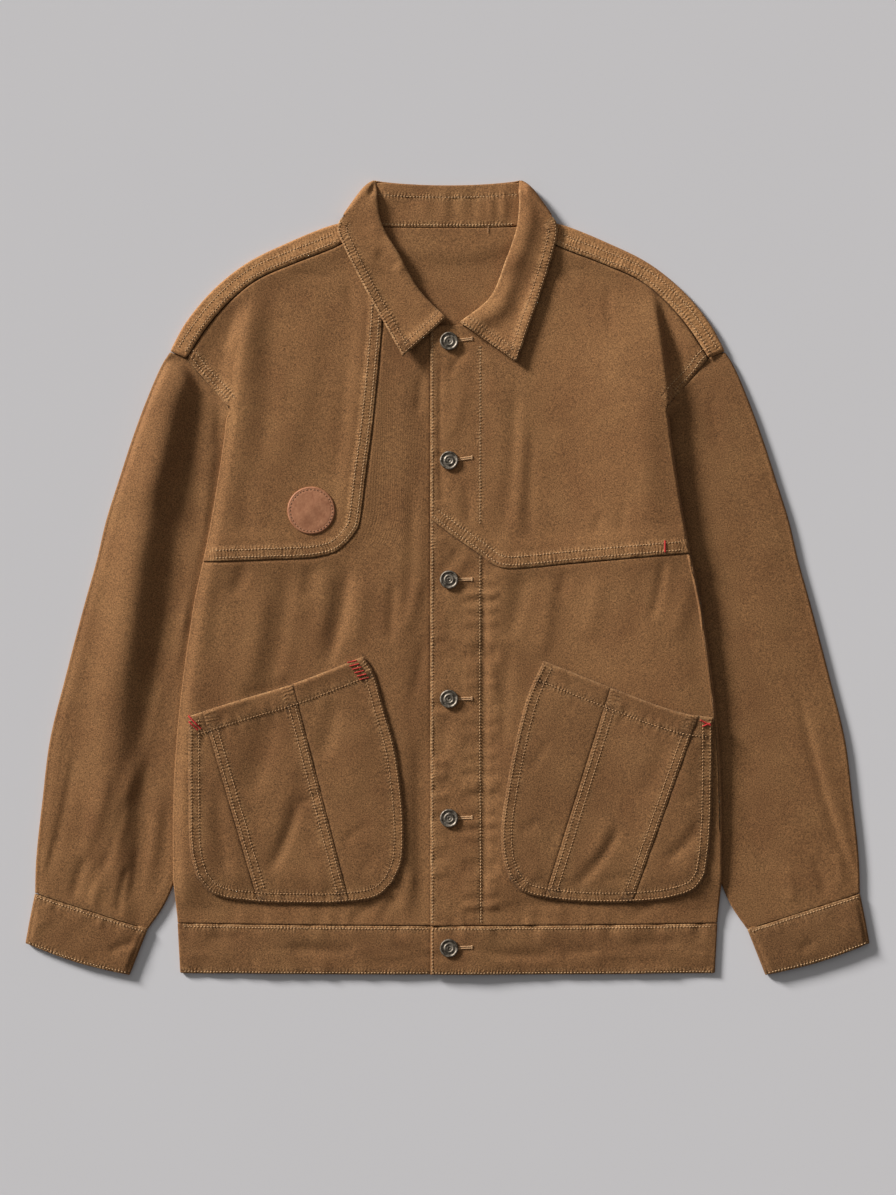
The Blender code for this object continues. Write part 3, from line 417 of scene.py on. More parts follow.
def fallEdge(x):   # y of the fall's edge behind the neck: a parabola
    return garment["fallBack"] + (fallCorner[1] - garment["fallBack"]) * (x / fallCorner[0]) ** 2


def rollEdge(x):   # y of the collar's fold behind the neck: a parabola
    return garment["rollBack"] + garment["rollSag"] * (x / rollCorner[0]) ** 2


def neckSeam(x):   # y of the stand's seam behind the neck: flat in the middle, 5 higher at its ends
    return garment["neckBack"] + 5 * (x / standEnd[0]) ** 4


def liftAt(x, y):   # what the collar, folded under the back of the neck, adds below every layer
    return cloth["layer"] * smooth((y - fallEdge(x) + 22) / 16)


def foldOut(y):   # how far out the side fold lies, or the crease that leads to it
    return np.where(y > garment["foldStart"], tableCurve(creaseTable, 1, y), tableCurve(sideTable, 1, y))


def foldTop(y):   # outside height of the front at that fold, with the rolled cloth standing up
    start, stop = garment["creaseStart"], garment["foldStart"]
    rise = sideTable[0][3] + cloth["sideRise"] - cloth["bodyTop"]
    crease = cloth["bodyTop"] + smooth((start - y) / (0.5 * (start - stop))) * rise
    return np.where(y > stop, crease, tableLine(sideTable, 3, y) + cloth["sideRise"])


# y, height: how much the left side's fold stands up
sideRidge = (
    (300, 0), (282, 0), (204, 6.5), (159, 8.7), (92, 9.2), (54, 8.8), (16, 7.6), (-21, 6.5), (-96, 5.4),
    (-171, 4.6), (-209, 3.3), (-247, 2.1), (-284, 1.2), (-322, 0), (-340, 0))


def sideRaise(x, y, inside):
    # left: height x exp(-(d/reach)^2). Right: a low ridge 11 mm in, height x exp(-((d-11)/15)^2), and the
    # edge itself drawn down. Both uneven along their run.
    uneven = 1 + 0.1 * softNoise(y, 0 * y + 7 * np.sign(x), 46, 31)
    reach = np.where(inside > 0, relief["sideReach"], 5.0)
    left = tableLine(sideRidge, 1, y) * uneven * np.exp(-(inside / reach) ** 2)
    run = smooth((282 - y) / 50) * smooth((y + 322) / 40)
    right = run * (2.3 * uneven * np.exp(-((inside - 11) / 15) ** 2) - 1.9 * (1 - smooth(inside / 11)))
    return np.where(x > 0, left, right)


def bodyPuff(x, y, inside):
    # how much the fronts stand off the back, less at placket, sides, hem and chest
    across = smooth((np.abs(x - 7) - 24) / 28) * smooth(inside / 34)
    return relief["bodyPuff"] * across * smooth((y + 316) / 40) * (1 - smooth((y - 165) / 75))


def above(body, floor, sharp=1.6):   # never below the floor, turning into it softly: log(1 + e^x)
    return floor + np.log1p(np.exp(np.clip((body - floor) * sharp, -40, 40))) / sharp


def besideEdge(d, gain=1.0):
    # beside an edge laid on cloth: height x smooth(d / 1.8) x exp(-(d / reach)^2)
    height, reach = relief["swell"]
    return gain * height * smooth(d / 1.8) * np.exp(-(d / reach) ** 2)


def frontBase(x, y):   # the single-layer fronts without their folds
    inside = foldOut(y) - np.abs(x)
    turned = tableCurve(sideTable, 1, y) - tableCurve(sideTable, 2, y) - 2
    turned = np.where(y > garment["foldStart"], 0, turned)
    slope = smooth(1 - (inside - turned) / garment["sideRamp"])
    shape = np.where(inside > 0, slope, 1 - smooth(-inside / np.where(x > 0, 6, 15)))
    wander = relief["wander"] * (softNoise(x, y, 58, 3) + 0.4 * softNoise(x, y, 27, 4))
    flat = smooth((y + 330) / 40) * (1 - smooth((y - 225) / 40))
    return (cloth["bodyTop"] + (foldTop(y) - cloth["bodyTop"]) * shape + liftAt(x, y)
            + sideRaise(x, y, inside) + bodyPuff(x, y, inside) + wander * flat)


def overLayer(x):   # the over front's layer, which comes down where the placket ends
    return cloth["layer"] * (1 - smooth((x - garment["placketEnd"]) / garment["placketFall"]))


def lapAt(distance):   # 1 on a lapped edge's allowance, with a step at its second stitch row, 0 well inside
    return 1 - 0.5 * smooth((distance - 10.4) / 3.4) - 0.5 * smooth((distance - 17) / 14)


def lapBase(distance):   # 1 on the allowance, 0 well inside it, evenly
    return 1 - smooth((distance - 17) / 14)


def hemLine(x):   # y of the hem seam: a parabola that hangs lowest at the centre
    return garment["hemTop"] - garment["hemSag"] * (1 - (x / garment["hemHalf"]) ** 2)


def hemEdge(x, up=0.0):   # the same as points in plan
    return np.stack([x, hemLine(x) + up], 1)


seamCurves = {
    "shoulder": drawn(shoulderSewn, 40),
    "chest": np.concatenate([drawn(((-91, 319), (-80, 290), (-64, 265.5), (-60, 263)), 12),
                             drawn(chestInner, 40)[1:], drawn(chestLower, 40)[1:]]),
    "yoke": drawn(yokeLower, 60),
    "armhole": drawn(armhole, 50),
}
seamCurves["armholeShown"] = seamCurves["armhole"][seamCurves["armhole"][:, 1] > 160]
seamCurves["chestEdge"] = seamCurves["chest"][11:]


def belowShoulder(x, y):   # distance below the shoulder seam: it runs outwards, the body to its right
    return -alongLine(np.abs(x), y, seamCurves["shoulder"])[0]


def underShoulder(x, y):   # 1 away from the shoulder strips, 0 under them
    return smooth((belowShoulder(x, y) + 1) / 15)


def pocketDistance(x, y, side):   # distance outside the pocket of that side, below 0 inside it
    return alongLine(x, y, pocketCurves[side]["all"])[0] * side


def chestDistance(x, y):   # distance inside the chest panel's inner and lower edges, across or up
    inner = np.array(chestInner + chestLower[1:3])[::-1]
    lower = np.array(chestLower)[::-1]
    across = np.interp(y, inner[:, 1], inner[:, 0]) - x
    up = y - np.interp(x, lower[:, 0], lower[:, 1])
    return np.minimum(across, up)


def seamPucker(x, y, line, seed):   # the short puckers across a seam
    return rungs(x, y, line, 1.0, 12, relief["puckerLength"], relief["pucker"], seed)


def rightBody(x, y):   # the under front's folds, hidden strips and all
    return folds(frontRightFolds, x, y, 0.9 * relief["foldGain"], 1.2) + marginPuckers(x, y)


def marginPuckers(x, y):   # short puckers in from the hem seam, as noise along it that dies upwards
    return 0.85 * band(y - hemLine(x), 0, 4, 4, 20) * softNoise(x, 0 * y + 5, 9, 12)


def rightTop(x, y):
    # the under front: its folds, cloth that stands up beside what lies on it, lower where hidden
    hidden = smooth((x - garment["centreOver"] + 1) / 3)
    hidden = np.maximum(hidden, smooth((chestDistance(x, y) + 1.5) / 3))
    swell = besideEdge(-chestDistance(x, y)) + besideEdge(pocketDistance(x, y, -1))
    return (above(frontBase(x, y) + rightBody(x, y) * (1 - hidden), relief["floor"]) + swell * (1 - hidden)
            - relief["tuck"] * hidden)


def chestTop(x, y):
    # the under front's form, one layer up at its edge, with its own folds, flat by the badge
    d = chestDistance(x, y)
    follow = lapBase(d)
    badgeNear = 1 - smooth((np.hypot(x - badge["centre"][0], y - badge["centre"][1]) - 24) / 22)
    shown = underShoulder(x, y)
    own = folds(chestFolds, x, y, relief["foldGain"]) * (1 - badgeNear)
    armholeLine = seamCurves["armholeShown"] * (-1, 1)
    edge = seamPucker(x, y, seamCurves["chestEdge"], 41) + seamPucker(x, y, armholeLine, 42)
    below = above(frontBase(x, y) + rightBody(x, y) * follow + own * (1 - follow) * shown, relief["floor"])
    return (below + cloth["layer"] * lapAt(d) + shown * edge * (1 - badgeNear)
            + besideEdge(belowShoulder(x, y), 1.8) - relief["tuck"] * (1 - smooth((shown - 0.02) / 0.05)))


def upright(x, high, low):   # a line down the garment
    return lineOf((x, high), (x, low))


def leftBody(x, y):
    # the over front's folds, puckers along both margins of the placket, and the step beside it
    placket = rungs(x, y, upright(garment["centreOver"], 300, -330), 2.0, 13, 10.5, 1.5, 51)
    facing = rungs(x, y, upright(garment["placketRow"], 60, -330), 0.5, 13, 10.5, 1.5, 52)
    facing = facing * smooth((40 - y) / 30)
    step = -1.0 * np.exp(-((x - 33.8) / 2.4) ** 2) * smooth((70 - y) / 30)
    own = folds(frontLeftFolds, x, y, 0.9 * relief["foldGain"], 1.2)
    return own + placket + facing + step + marginPuckers(x, y)


def yokeDistance(x, y):   # distance above the yoke's lower edge
    lower = np.array(yokeLower)
    return y - np.interp(x, lower[:, 0], lower[:, 1])


def overTop(x, y):   # the over front, as the under one, with its layer
    hidden = smooth((yokeDistance(x, y) + 1.5) / 3)
    swell = besideEdge(-yokeDistance(x, y)) + besideEdge(pocketDistance(x, y, 1))
    return (above(frontBase(x, y) + leftBody(x, y) * (1 - hidden), relief["floor"]) + overLayer(x)
            + swell * (1 - hidden) - relief["tuck"] * hidden)


def yokeTop(x, y):   # the over front's form, one layer up at its edge, with its own folds
    d = yokeDistance(x, y)
    follow = lapBase(d)
    shown = underShoulder(x, y)
    own = folds(yokeFolds, x, y, relief["foldGain"])
    placket = rungs(x, y, upright(garment["centreOver"], 300, 50), 2.0, 9, 10.5, 0.4, 53)
    facing = rungs(x, y, upright(garment["placketRow"], 220, 60), 0.5, 8, 11, 0.3, 54)
    edge = seamPucker(x, y, seamCurves["yoke"], 43) + seamPucker(x, y, seamCurves["armholeShown"], 44)
    follows = leftBody(x, y) * follow * (1 - smooth((d + 1) / 8))
    below = above(frontBase(x, y) + follows + shown * own * (1 - follow), relief["floor"])
    return (below + overLayer(x) + cloth["layer"] * lapAt(d) + shown * (edge + placket + facing)
            + besideEdge(belowShoulder(x, y), 1.8) - relief["tuck"] * (1 - smooth((shown - 0.02) / 0.05)))


def stripTop(x, y):   # the shoulder strips, lapped on the fronts, rising evenly from their fold to the seam
    up = np.clip(-belowShoulder(x, y), 0, 20)
    return (garment["stripLow"] + 0.085 * (17 - up) + liftAt(x, y)
            + seamPucker(np.abs(x), y, seamCurves["shoulder"], 45 + (x.mean() > 0))
            + 0.3 * softNoise(x, y, 21, 46))


# Meshes

def meshFrom(name, vertices, groups, finish, uv=None, marks=None):
    # vertices in millimetres, groups of equal-sided faces, one uv per face corner, marks per vertex
    mesh = bpy.data.meshes.new(name)
    mesh.vertices.add(len(vertices))
    mesh.vertices.foreach_set("co", (np.asarray(vertices, float) * metre).ravel())
    corners = np.concatenate([np.asarray(g).ravel() for g in groups])
    sizes = np.concatenate([np.full(len(g), g.shape[1]) for g in groups])
    mesh.loops.add(len(corners))
    mesh.loops.foreach_set("vertex_index", corners.astype(np.int32))
    mesh.polygons.add(len(sizes))
    mesh.polygons.foreach_set("loop_start", (np.cumsum(sizes) - sizes).astype(np.int32))
    mesh.polygons.foreach_set("use_smooth", np.ones(len(sizes), bool))
    mesh.update(calc_edges=True)
    if uv is not None:
        mesh.uv_layers.new(name="cut").data.foreach_set("uv", uv.ravel())
    for label, values in (marks or {}).items():
        mesh.attributes.new(label, "FLOAT", "POINT").data.foreach_set("value", values.ravel())
    made = bpy.data.objects.new(name, mesh)
    mesh.materials.append(finish)
    bpy.context.scene.collection.objects.link(made)
    return made


def grow(marked):   # marks a grid's points that touch a marked one
    grown = marked.copy()
    for i in (-1, 0, 1):
        for j in (-1, 0, 1):
            grown |= np.roll(marked, (i, j), (0, 1))
    return grown


def cellsOf(grid, closed=False):   # a grid's cells, all of them kept
    return np.ones((grid.shape[0] - 1, grid.shape[1] - (not closed)), bool)


def shell(name, outside, toneAndShade, seams, paintedShadeEdges=(), keep=None, ring=False, wall=cloth["wall"],
          mirrored=False, plain=None):
    # a wall inwards from a grid on its outside face: inner = outer - wall x unit normal, with
    # round borders, where both faces draw in by 0.42 and then 0.12 of the wall. Its marks are those of
    # the seams and of the edges beside which shade is painted, read at |x| if they are mirrored, and none
    # where it is plain
    rows, columns = outside.shape[:2]
    if keep is None:
        keep = cellsOf(outside, ring)
    cells = keep.shape[1]
    k = (np.arange(cells) + 1) % columns
    a, b, c, d = outside[:-1, :cells], outside[1:, :cells], outside[1:, k], outside[:-1, k]
    facing = np.cross(c - a, d - b)
    size = np.linalg.norm(facing, axis=2, keepdims=True)
    facing = np.where(keep[..., None] & (size > 1e-9), facing / np.maximum(size, 1e-9), 0)
    normals = np.zeros_like(outside)
    normals[:-1, :cells] += facing
    normals[1:, :cells] += facing
    normals[1:, k] += facing
    normals[:-1, k] += facing
    size = np.linalg.norm(normals, axis=2, keepdims=True)
    normals /= np.where(size > 0, size, 1)

    padded = np.pad(keep, ((1, 1), (0, 0) if ring else (1, 1)))
    if ring:
        padded = np.concatenate([padded[:, -1:], padded], axis=1)
    whole = padded[:-1, :-1] & padded[1:, :-1] & padded[:-1, 1:] & padded[1:, 1:]
    rim = ~whole
    near = grow(rim) & ~rim
    inset = wall * (0.42 * rim + 0.12 * near)[..., None]
    outer, inner = outside - inset * normals, outside - (wall - inset) * normals

    index = np.arange(rows * columns).reshape(rows, columns)
    ia, ib, ic, idd = index[:-1, :cells], index[1:, :cells], index[1:, k], index[:-1, k]
    n = rows * columns

    along = np.linalg.norm(np.diff(outside, axis=1, append=outside[:, :1]), axis=2)
    u = np.concatenate([np.zeros((rows, 1)), np.cumsum(along, axis=1)], axis=1)
    down = np.linalg.norm(np.diff(outside, axis=0, prepend=outside[:1]), axis=2)
    v = np.cumsum(down, axis=0)
    v = np.concatenate([v, v[:, :1] if ring else v[:, -1:]], axis=1)
    flat = np.stack([u - u[:, u.shape[1] // 2][:, None], v], axis=2) * metre
    ua, ub, uc, ud = flat[:-1, :cells], flat[1:, :cells], flat[1:, 1:cells + 1], flat[:-1, 1:cells + 1]

    faces, places = [], []

    def add(where, ids, spots):
        faces.append(np.stack([x[where] for x in ids], 1))
        places.append(np.stack([x[where] for x in spots], 1))

    add(keep, (ia, ib, ic, idd), (ua, ub, uc, ud))
    add(keep, (ia + n, idd + n, ic + n, ib + n), (ua, ud, uc, ub))
    around = np.pad(keep, ((1, 1), (0, 0)))
    if ring:
        left, right = np.roll(keep, 1, 1), np.roll(keep, -1, 1)
    else:
        wide = np.pad(keep, ((0, 0), (1, 1)))
        left, right = wide[:, :-2], wide[:, 2:]
    add(keep & ~left, (ib, ia, ia + n, ib + n), (ub, ua, ua, ub))
    add(keep & ~around[2:], (ic, ib, ib + n, ic + n), (uc, ub, ub, uc))
    add(keep & ~right, (idd, ic, ic + n, idd + n), (ud, uc, uc, ud))
    add(keep & ~around[:-2], (ia, idd, idd + n, ia + n), (ua, ud, ud, ua))
    faces, places = np.concatenate(faces), np.concatenate(places)
    used = np.unique(faces)
    new = np.zeros(2 * n, int)
    new[used] = np.arange(len(used))
    vertices = np.concatenate([outer.reshape(-1, 3), inner.reshape(-1, 3)])[used]
    x, y = outside[..., 0], outside[..., 1]
    marks = seamMarks(np.abs(x) if mirrored else x, y, seams, paintedShadeEdges)
    if plain is not None:
        for values in marks.values():
            values[plain] = cloth["farOff"]
    # the tone, a mark the cloth's finish multiplies in, is partly the cloth's own tone and partly painted
    # light and shade
    marks["toneAndShade"] = np.broadcast_to(toneAndShade, x.shape)
    kept = {label: np.concatenate([m.ravel(), m.ravel()])[used] for label, m in marks.items()}
    made = meshFrom(name, vertices, [new[faces]], clothFinish, places, kept)
    area = 0.5 * np.linalg.norm(np.cross(c - a, d - b), axis=2)[keep].sum() * metre ** 2
    print(f"{name}: {2 * len(faces)} triangles, {area:.4f} m2")
    return made


def seamMarks(x, y, seams, paintedShadeEdges):
    # distance to the nearest edge, to the nearest row of stitches with the place along it, and to the
    # edge of a layer that lies on this one, beside which the finish paints shade. A seam is a line, its rows'
    # distances from it, and whether it is an edge
    edge, row, under = (np.full(x.shape, cloth["farOff"]) for _ in range(3))
    place = np.zeros(x.shape)
    for line in paintedShadeEdges:
        under = np.minimum(under, np.abs(alongLine(x, y, line)[0]))
    for number, (line, offsets, isEdge) in enumerate(seams):
        d, s = alongLine(x, y, line)
        d = np.where((s > 0) & (s < arcs(line)[-1]), np.abs(d), cloth["farOff"])
        if isEdge:
            edge = np.minimum(edge, d)
        for offset in offsets:
            near = np.abs(d - offset)
            place = np.where(near < row, s + 331 * number, place)
            row = np.minimum(row, near)
    return {"edgeDistance": edge, "rowDistance": row, "seamPlace": place, "underDistance": under}


def lineOf(*points):   # a polyline in plan
    return np.array(points, float)


def level(height):   # a top at one height
    return lambda x, y: height + 0 * x


def moved(line, distance):   # a polyline moved square to its run, positive to the left
    run = np.gradient(line, axis=0)
    run /= np.linalg.norm(run, axis=1)[:, None]
    return line + distance * np.stack([-run[:, 1], run[:, 0]], 1)


def cutLine(line, start, stop):   # the part of a polyline between two lengths from its start
    along = arcs(line)
    stop = along[-1] + stop if stop <= 0 else stop
    return readAt(line, along, np.linspace(start, stop, max(2, int((stop - start) / 2))))


# The pieces. Each is one grid of points on its outside face.

def turnedGrid(side, plan, top, turnedFrom, keep=None):
    # a front panel from the centre out, its side edge carried round a half circle and back to the seam
    rows, columns = plan.shape[:2]
    z = top(plan[..., 0], plan[..., 1])
    turns, backs = 9, 7
    grid = np.zeros((rows, columns + turns + backs, 3))
    grid[:, :columns] = raised(plan, z)
    y, edge = plan[turnedFrom:, -1, 1][:, None], z[turnedFrom:, -1][:, None]
    fold, seam = tableCurve(sideTable, 1, y), tableCurve(sideTable, 2, y)
    under, ends = tableLine(sideTable, 3, y), tableLine(sideTable, 4, y)
    wide, tall = rollWidth(side, y), (edge - under) / 2
    angle = np.linspace(math.pi / 2, -math.pi / 2, turns + 1)[None, 1:]
    width = fold - wide - seam
    drop = np.minimum(8, 0.8 * width)
    back = np.concatenate([drop + (width - drop) * np.array([[0.75, 0.4, 0.1]]),
                           drop * np.array([[0.8, 0.55, 0.3]]), 0.6 + 0 * drop], axis=1)
    level = ends + (under - ends) * smooth((back - 0.15 * drop) / (0.85 * drop))
    # above the turn the roll closes up to a short drop at the edge itself
    open_ = rolled(y)
    at = side * plan[turnedFrom:, -1, 0][:, None]
    drop = 1.5 * np.linspace(0, 1, turns + backs + 1)[None, 1:]
    out = np.concatenate([fold - wide + wide * np.cos(angle), seam + back], 1)
    high = np.concatenate([under + tall + tall * np.sin(angle), level], 1)
    grid[turnedFrom:, columns:, 0] = side * (at + (out - at) * open_)
    grid[turnedFrom:, columns:, 1] = y
    grid[turnedFrom:, columns:, 2] = edge - drop + (high - edge + drop) * open_
    cells = cellsOf(grid)
    cells[:turnedFrom, columns - 1:] = False
    if keep is not None:
        cells[:, :columns - 1] &= keep
    return (grid[:, ::-1], cells[:, ::-1]) if side < 0 else (grid, cells)


def sidePoints(side, ys):   # where a front's upper face ends: the armhole, or inside its fold
    rows = np.array(armhole)[::-1]
    seam = np.interp(ys, rows[:, 1], rows[:, 0]) - cloth["halfGap"]
    fold = tableCurve(sideTable, 1, ys)
    return np.stack([side * (seam + (fold - rollWidth(side, ys) - seam) * rolled(ys)), ys], 1)


def rollWidth(side, y):   # half width of the side fold's round edge, less at the hem band
    return 1.6 + (relief["sideRoll"] - 1.6) * smooth((y - garment["hemTop"]) / 50) * (side > 0)


def rolled(y):   # 0 above the place where the side edge starts to roll under, 1 below it
    return smooth((garment["rollStart"] - y) / (garment["rollStart"] - garment["turnStart"]))


def spaced(first, last, step):   # heights from first to last, tight at both ends
    return first + (last - first) * stopsFor(abs(last - first), step)


def evenly(ys, first, last):   # the same spacing between two other heights
    return first + (last - first) * (ys - ys[0]) / (ys[-1] - ys[0])


def freeEdge(x, ys):   # an upright edge, as points in plan
    return np.stack([np.full(len(ys), float(x)), ys], 1)


def firstTurned(ys):   # the first row that starts to roll under
    return int(np.argmax(ys <= garment["rollStart"]))


def allowance(top):   # three rows above an edge that lie under the shoulder strip
    reach = np.interp(np.abs(top[:, 0]), (91, 125), (4, cloth["lap"]))[:, None]
    return np.array([top + share * reach * (0, 1) for share in (1, 0.6, 0.25)])


def makeFrontRight():
    # all of the front below the chest panel's edge, and above it only the strip that shows beside the panel
    step, centre = cloth["step"], garment["centreUnder"]
    high = stopsFor(206, step)
    strip = curve(((centre, 31), (-40, 31), (-102, 31)), stopsFor(122, step, ends=(True, False)))
    ys = spaced(26.0, garment["hemTop"] + cloth["halfGap"], step)
    outer = sidePoints(-1, ys)
    wide = curve(((-102, 31), (-160, 29), tuple(outer[0])), stopsFor(124, step, ends=(False, False)))[1:]
    first = np.concatenate([strip, wide])
    last = hemEdge(centre + shares(first) * (outer[-1, 0] - centre), cloth["halfGap"])
    outer[-1] = last[-1]
    low = patch(first, last, freeEdge(centre, evenly(ys, 31, last[0, 1])), outer)
    neck = curve(((centre, 237.5), (-12, 237.5), (-26, 239), (-45, 249), (-64, 265.5)), shares(strip))
    inner = curve(((centre, 237.5), (centre, 31)), high)
    lapped = ((-64, 265.5), (-73, 234), (-76, 200), (-82, 141), (-88, 97), (-93, 56), (-102, 31))
    upper = patch(neck, strip, inner, curve(lapped, high))[:-1]
    padded = np.repeat(low[:1], len(upper), axis=0)
    padded[:, :len(strip)] = upper
    plan = np.concatenate([padded, low])
    keep = cellsOf(plan)
    keep[:len(upper), len(strip) - 1:] = False
    grid, cells = turnedGrid(-1, plan, rightTop, len(upper) + 2, keep)
    paintedShadeEdges = [seamCurves["chestEdge"], hemEdge(np.linspace(-250, 20, 60)), upright(-16.5, 240, -326),
               *pocketOutlines(-1)]
    return shell("clothFrontRight", grid, tonesAndShade["frontRight"], [], paintedShadeEdges, cells)


def lappedPlan(top, lower, inner, outer, under):
    # a lapped panel in plan below its allowance: the column beside its outer edge halfway to it
    plan = patch(top, lower, inner, outer)
    plan[1:-1, -2] = (plan[1:-1, -3] + plan[1:-1, -1]) / 2
    return np.concatenate([under, plan])


def makeChest():   # the lapped panel from the shoulder seam to its lower edge
    ys = spaced(206.0, 15.0, 1.75)
    outer = sidePoints(-1, ys)
    top = curve(np.array(shoulderSewn) * (-1, 1), stopsFor(195, cloth["step"], ends=(True, False)))
    edge = seamCurves["chest"][:51]   # down to its rounded corner
    inner = readAt(edge, arcs(edge), evenly(ys, 0, arcs(edge)[-1]))
    lower = curve(chestLower, shares(top))
    top[-1] = outer[0]
    inner[0], inner[-1] = top[0], lower[0]
    lower[-1] = outer[-1]
    under = allowance(top)
    grid, cells = turnedGrid(-1, lappedPlan(top, lower, inner, outer, under), chestTop,
                             len(under) + firstTurned(ys))
    seams = [(seamCurves["chestEdge"], (3.4, 10.2), True),
             (seamCurves["armholeShown"] * (-1, 1), (3.8, 9.6), True)]
    return shell("clothChest", grid, tonesAndShade["chest"], seams, [seamCurves["shoulder"] * (-1, 1)], cells)


def makeYoke():   # the lapped yoke from the neck and the shoulder seam to its stepped lower edge
    step, centre = cloth["step"], garment["centreOver"]
    ys = spaced(206.0, 23.0, 1.9)
    outer = sidePoints(1, ys)
    neck = curve(((centre, 236.5),) + neckLine[:-2] + ((91, 319),), stopsFor(142, step, ends=(True, False)))
    shoulder = curve(shoulderSewn, stopsFor(195, step, ends=(False, False)))[1:]
    top = np.concatenate([neck, shoulder])
    lower = curve(yokeLower, shares(top))
    top[-1], lower[-1] = outer[0], outer[-1]
    under = allowance(top)
    under[:, :len(neck) - 1] = neck[:-1]   # none along the neck
    plan = lappedPlan(top, lower, freeEdge(centre, evenly(ys, 236.5, 55)), outer, under)
    keep = cellsOf(plan)
    keep[:len(under), :len(neck) - 1] = False
    grid, cells = turnedGrid(1, plan, yokeTop, len(under) + firstTurned(ys), keep)
    seams = [(seamCurves["yoke"], (3.6, 11.0), True), (seamCurves["armholeShown"], (3.8, 9.6), True),
             (upright(centre, 240, 55), (1.7,), True),
             (upright(garment["placketRow"], 218, 52), (0,), False)]
    return shell("clothYoke", grid, tonesAndShade["yoke"], seams, [seamCurves["shoulder"]], cells)


def makeFrontLeft():   # the over front from under the yoke's edge to the hem seam
    step, centre = cloth["step"], garment["centreOver"]
    ys = spaced(22.1, garment["hemTop"] + cloth["halfGap"], step)
    outer = sidePoints(1, ys)
    edge = curve(yokeLower, stopsFor(262, step))
    first = edge - (0, 0.9)
    first[-1] = outer[0]
    last = hemEdge(centre + shares(edge) * (outer[-1, 0] - centre), cloth["halfGap"])
    outer[-1] = last[-1]
    plan = patch(first, last, freeEdge(centre, evenly(ys, first[0, 1], last[0, 1])), outer)
    under = np.array([first + (0, up) for up in (cloth["lap"], 6, 2.5)])   # its allowance under the yoke
    plan = np.concatenate([under, plan])
    keep = cellsOf(plan)
    keep[:len(under), -2:] = False
    grid, cells = turnedGrid(1, plan, overTop, len(under), keep)
    seams = [(upright(centre, 60, -326), (1.7,), True),
             (upright(garment["placketRow"], 50, -326), (0,), False)]
    paintedShadeEdges = [seamCurves["yoke"], hemEdge(np.linspace(-16, 250, 60)), *pocketOutlines(1)]
    return shell("clothFrontLeft", grid, tonesAndShade["frontLeft"], seams, paintedShadeEdges, cells)


def makeBack():
    # the flat back in plan, then half circles up round the shoulder folds and the strips to their seams
    stops = stopsFor(218, 3.0, ends=(True, False))
    shoulder = curve(shoulderTable, stops)
    fold, sewn = shoulder[:, :2], shoulder[:, 2:]
    out = -squareTo(fold)
    radius = garment["stripLow"] / 2
    near = fold - radius * out
    neck = curve(((near[0, 0], near[0, 1]), (60, 329.5), (30, 329), (0, 329)),
                 stopsFor(93, 3.0, ends=(True, False)))[1:]
    half = np.concatenate([neck[::-1], near])
    last = np.concatenate([half[::-1] * (-1, 1), half[1:]])
    first = hemEdge(last[:, 0] * 245.85 / last[-1, 0], cloth["halfGap"])
    tall = np.array([garment["hemTop"], -300, -228, -115, -42, -28, 33, 78, 131, 159, 192, 205], float)
    hole = np.array(armhole)[:-1][::-1]
    seam = np.concatenate([tableCurve(sideTable, 2, tall[:6]), np.interp(tall[6:], hole[:, 1], hole[:, 0])])
    edge = np.stack([seam - cloth["halfGap"], tall], 1)
    edge[0] = first[-1]
    edge = np.concatenate([edge, last[-1:]])
    edge = readAt(edge, shares(edge), stopsFor(arcs(edge)[-1], 4.2, (0.5, 1.4, 3.0)))
    flat = patch(first, last, edge * (-1, 1), edge)
    x, y = flat[..., 0], flat[..., 1]
    hollow = (0.5 + 0.5 * softNoise(x, y, 48, 61)) * 0.9   # how far the back stands off the table
    hollow *= smooth((y + 322) / 30) * smooth((240 - y) / 60)
    ground = raised(flat, liftAt(x, y) + hollow)
    base = liftAt(near[:, 0], near[:, 1])
    turned = np.array([raised(near + radius * math.cos(a) * out, base + radius + radius * math.sin(a))
                       for a in np.linspace(-math.pi / 2, math.pi / 2, 9)[1:]])
    across = stopsFor(17, 2.2, ends=(False, True))[1:]
    plan = near[None] + across[:, None, None] * (sewn - near)[None]
    blend = smooth(np.minimum(across * 17, 6) / 6)[:, None]

    def stripGrid(side):   # the turn and the strip, whose folds set in over its first 6 mm
        z = stripTop(side * plan[..., 0], plan[..., 1])
        plain = 2 * radius + liftAt(plan[..., 0], plan[..., 1])
        strip = raised(plan, plain + blend * (z - plain))
        return np.concatenate([turned, strip]) * (side, 1, 1)

    left, right = stripGrid(1), stripGrid(-1)[:, ::-1]
    middle = last.shape[0] - 2 * len(near)
    filler = np.repeat(left[:, :1], middle, axis=1)
    grid = np.concatenate([ground, np.concatenate([right, filler, left], axis=1)])
    keep = cellsOf(grid)
    keep[len(flat) - 1:, len(near) - 1:len(near) + middle] = False
    isFlat = np.arange(len(grid)) < len(flat)
    toneAndShade = np.where(isFlat, tonesAndShade["back"], tonesAndShade["strips"])[:, None]
    return shell("clothBack", grid, toneAndShade, [(seamCurves["shoulder"], (3.8, 11.6), True)], keep=keep,
                 mirrored=True, plain=isFlat)


# Sleeves and cuffs

# heights at the inner and outer side, width of the ridge's outer flank, gain of its folds, fall at its edge
sleeveShape = {
    "rise": 3.2, "outerRise": {-1: 5.2, 1: 4.3}, "flank": 38, "gain": 1.15, "edgeFall": {-1: 1.0, 1: 0.7},
    "edgeRises": ((3.6, 4.2), (3.2, 3.2)),   # of its outer and inner edge, from the head down
}
sleeveHead = armhole[:-1] + ((180, -400),)
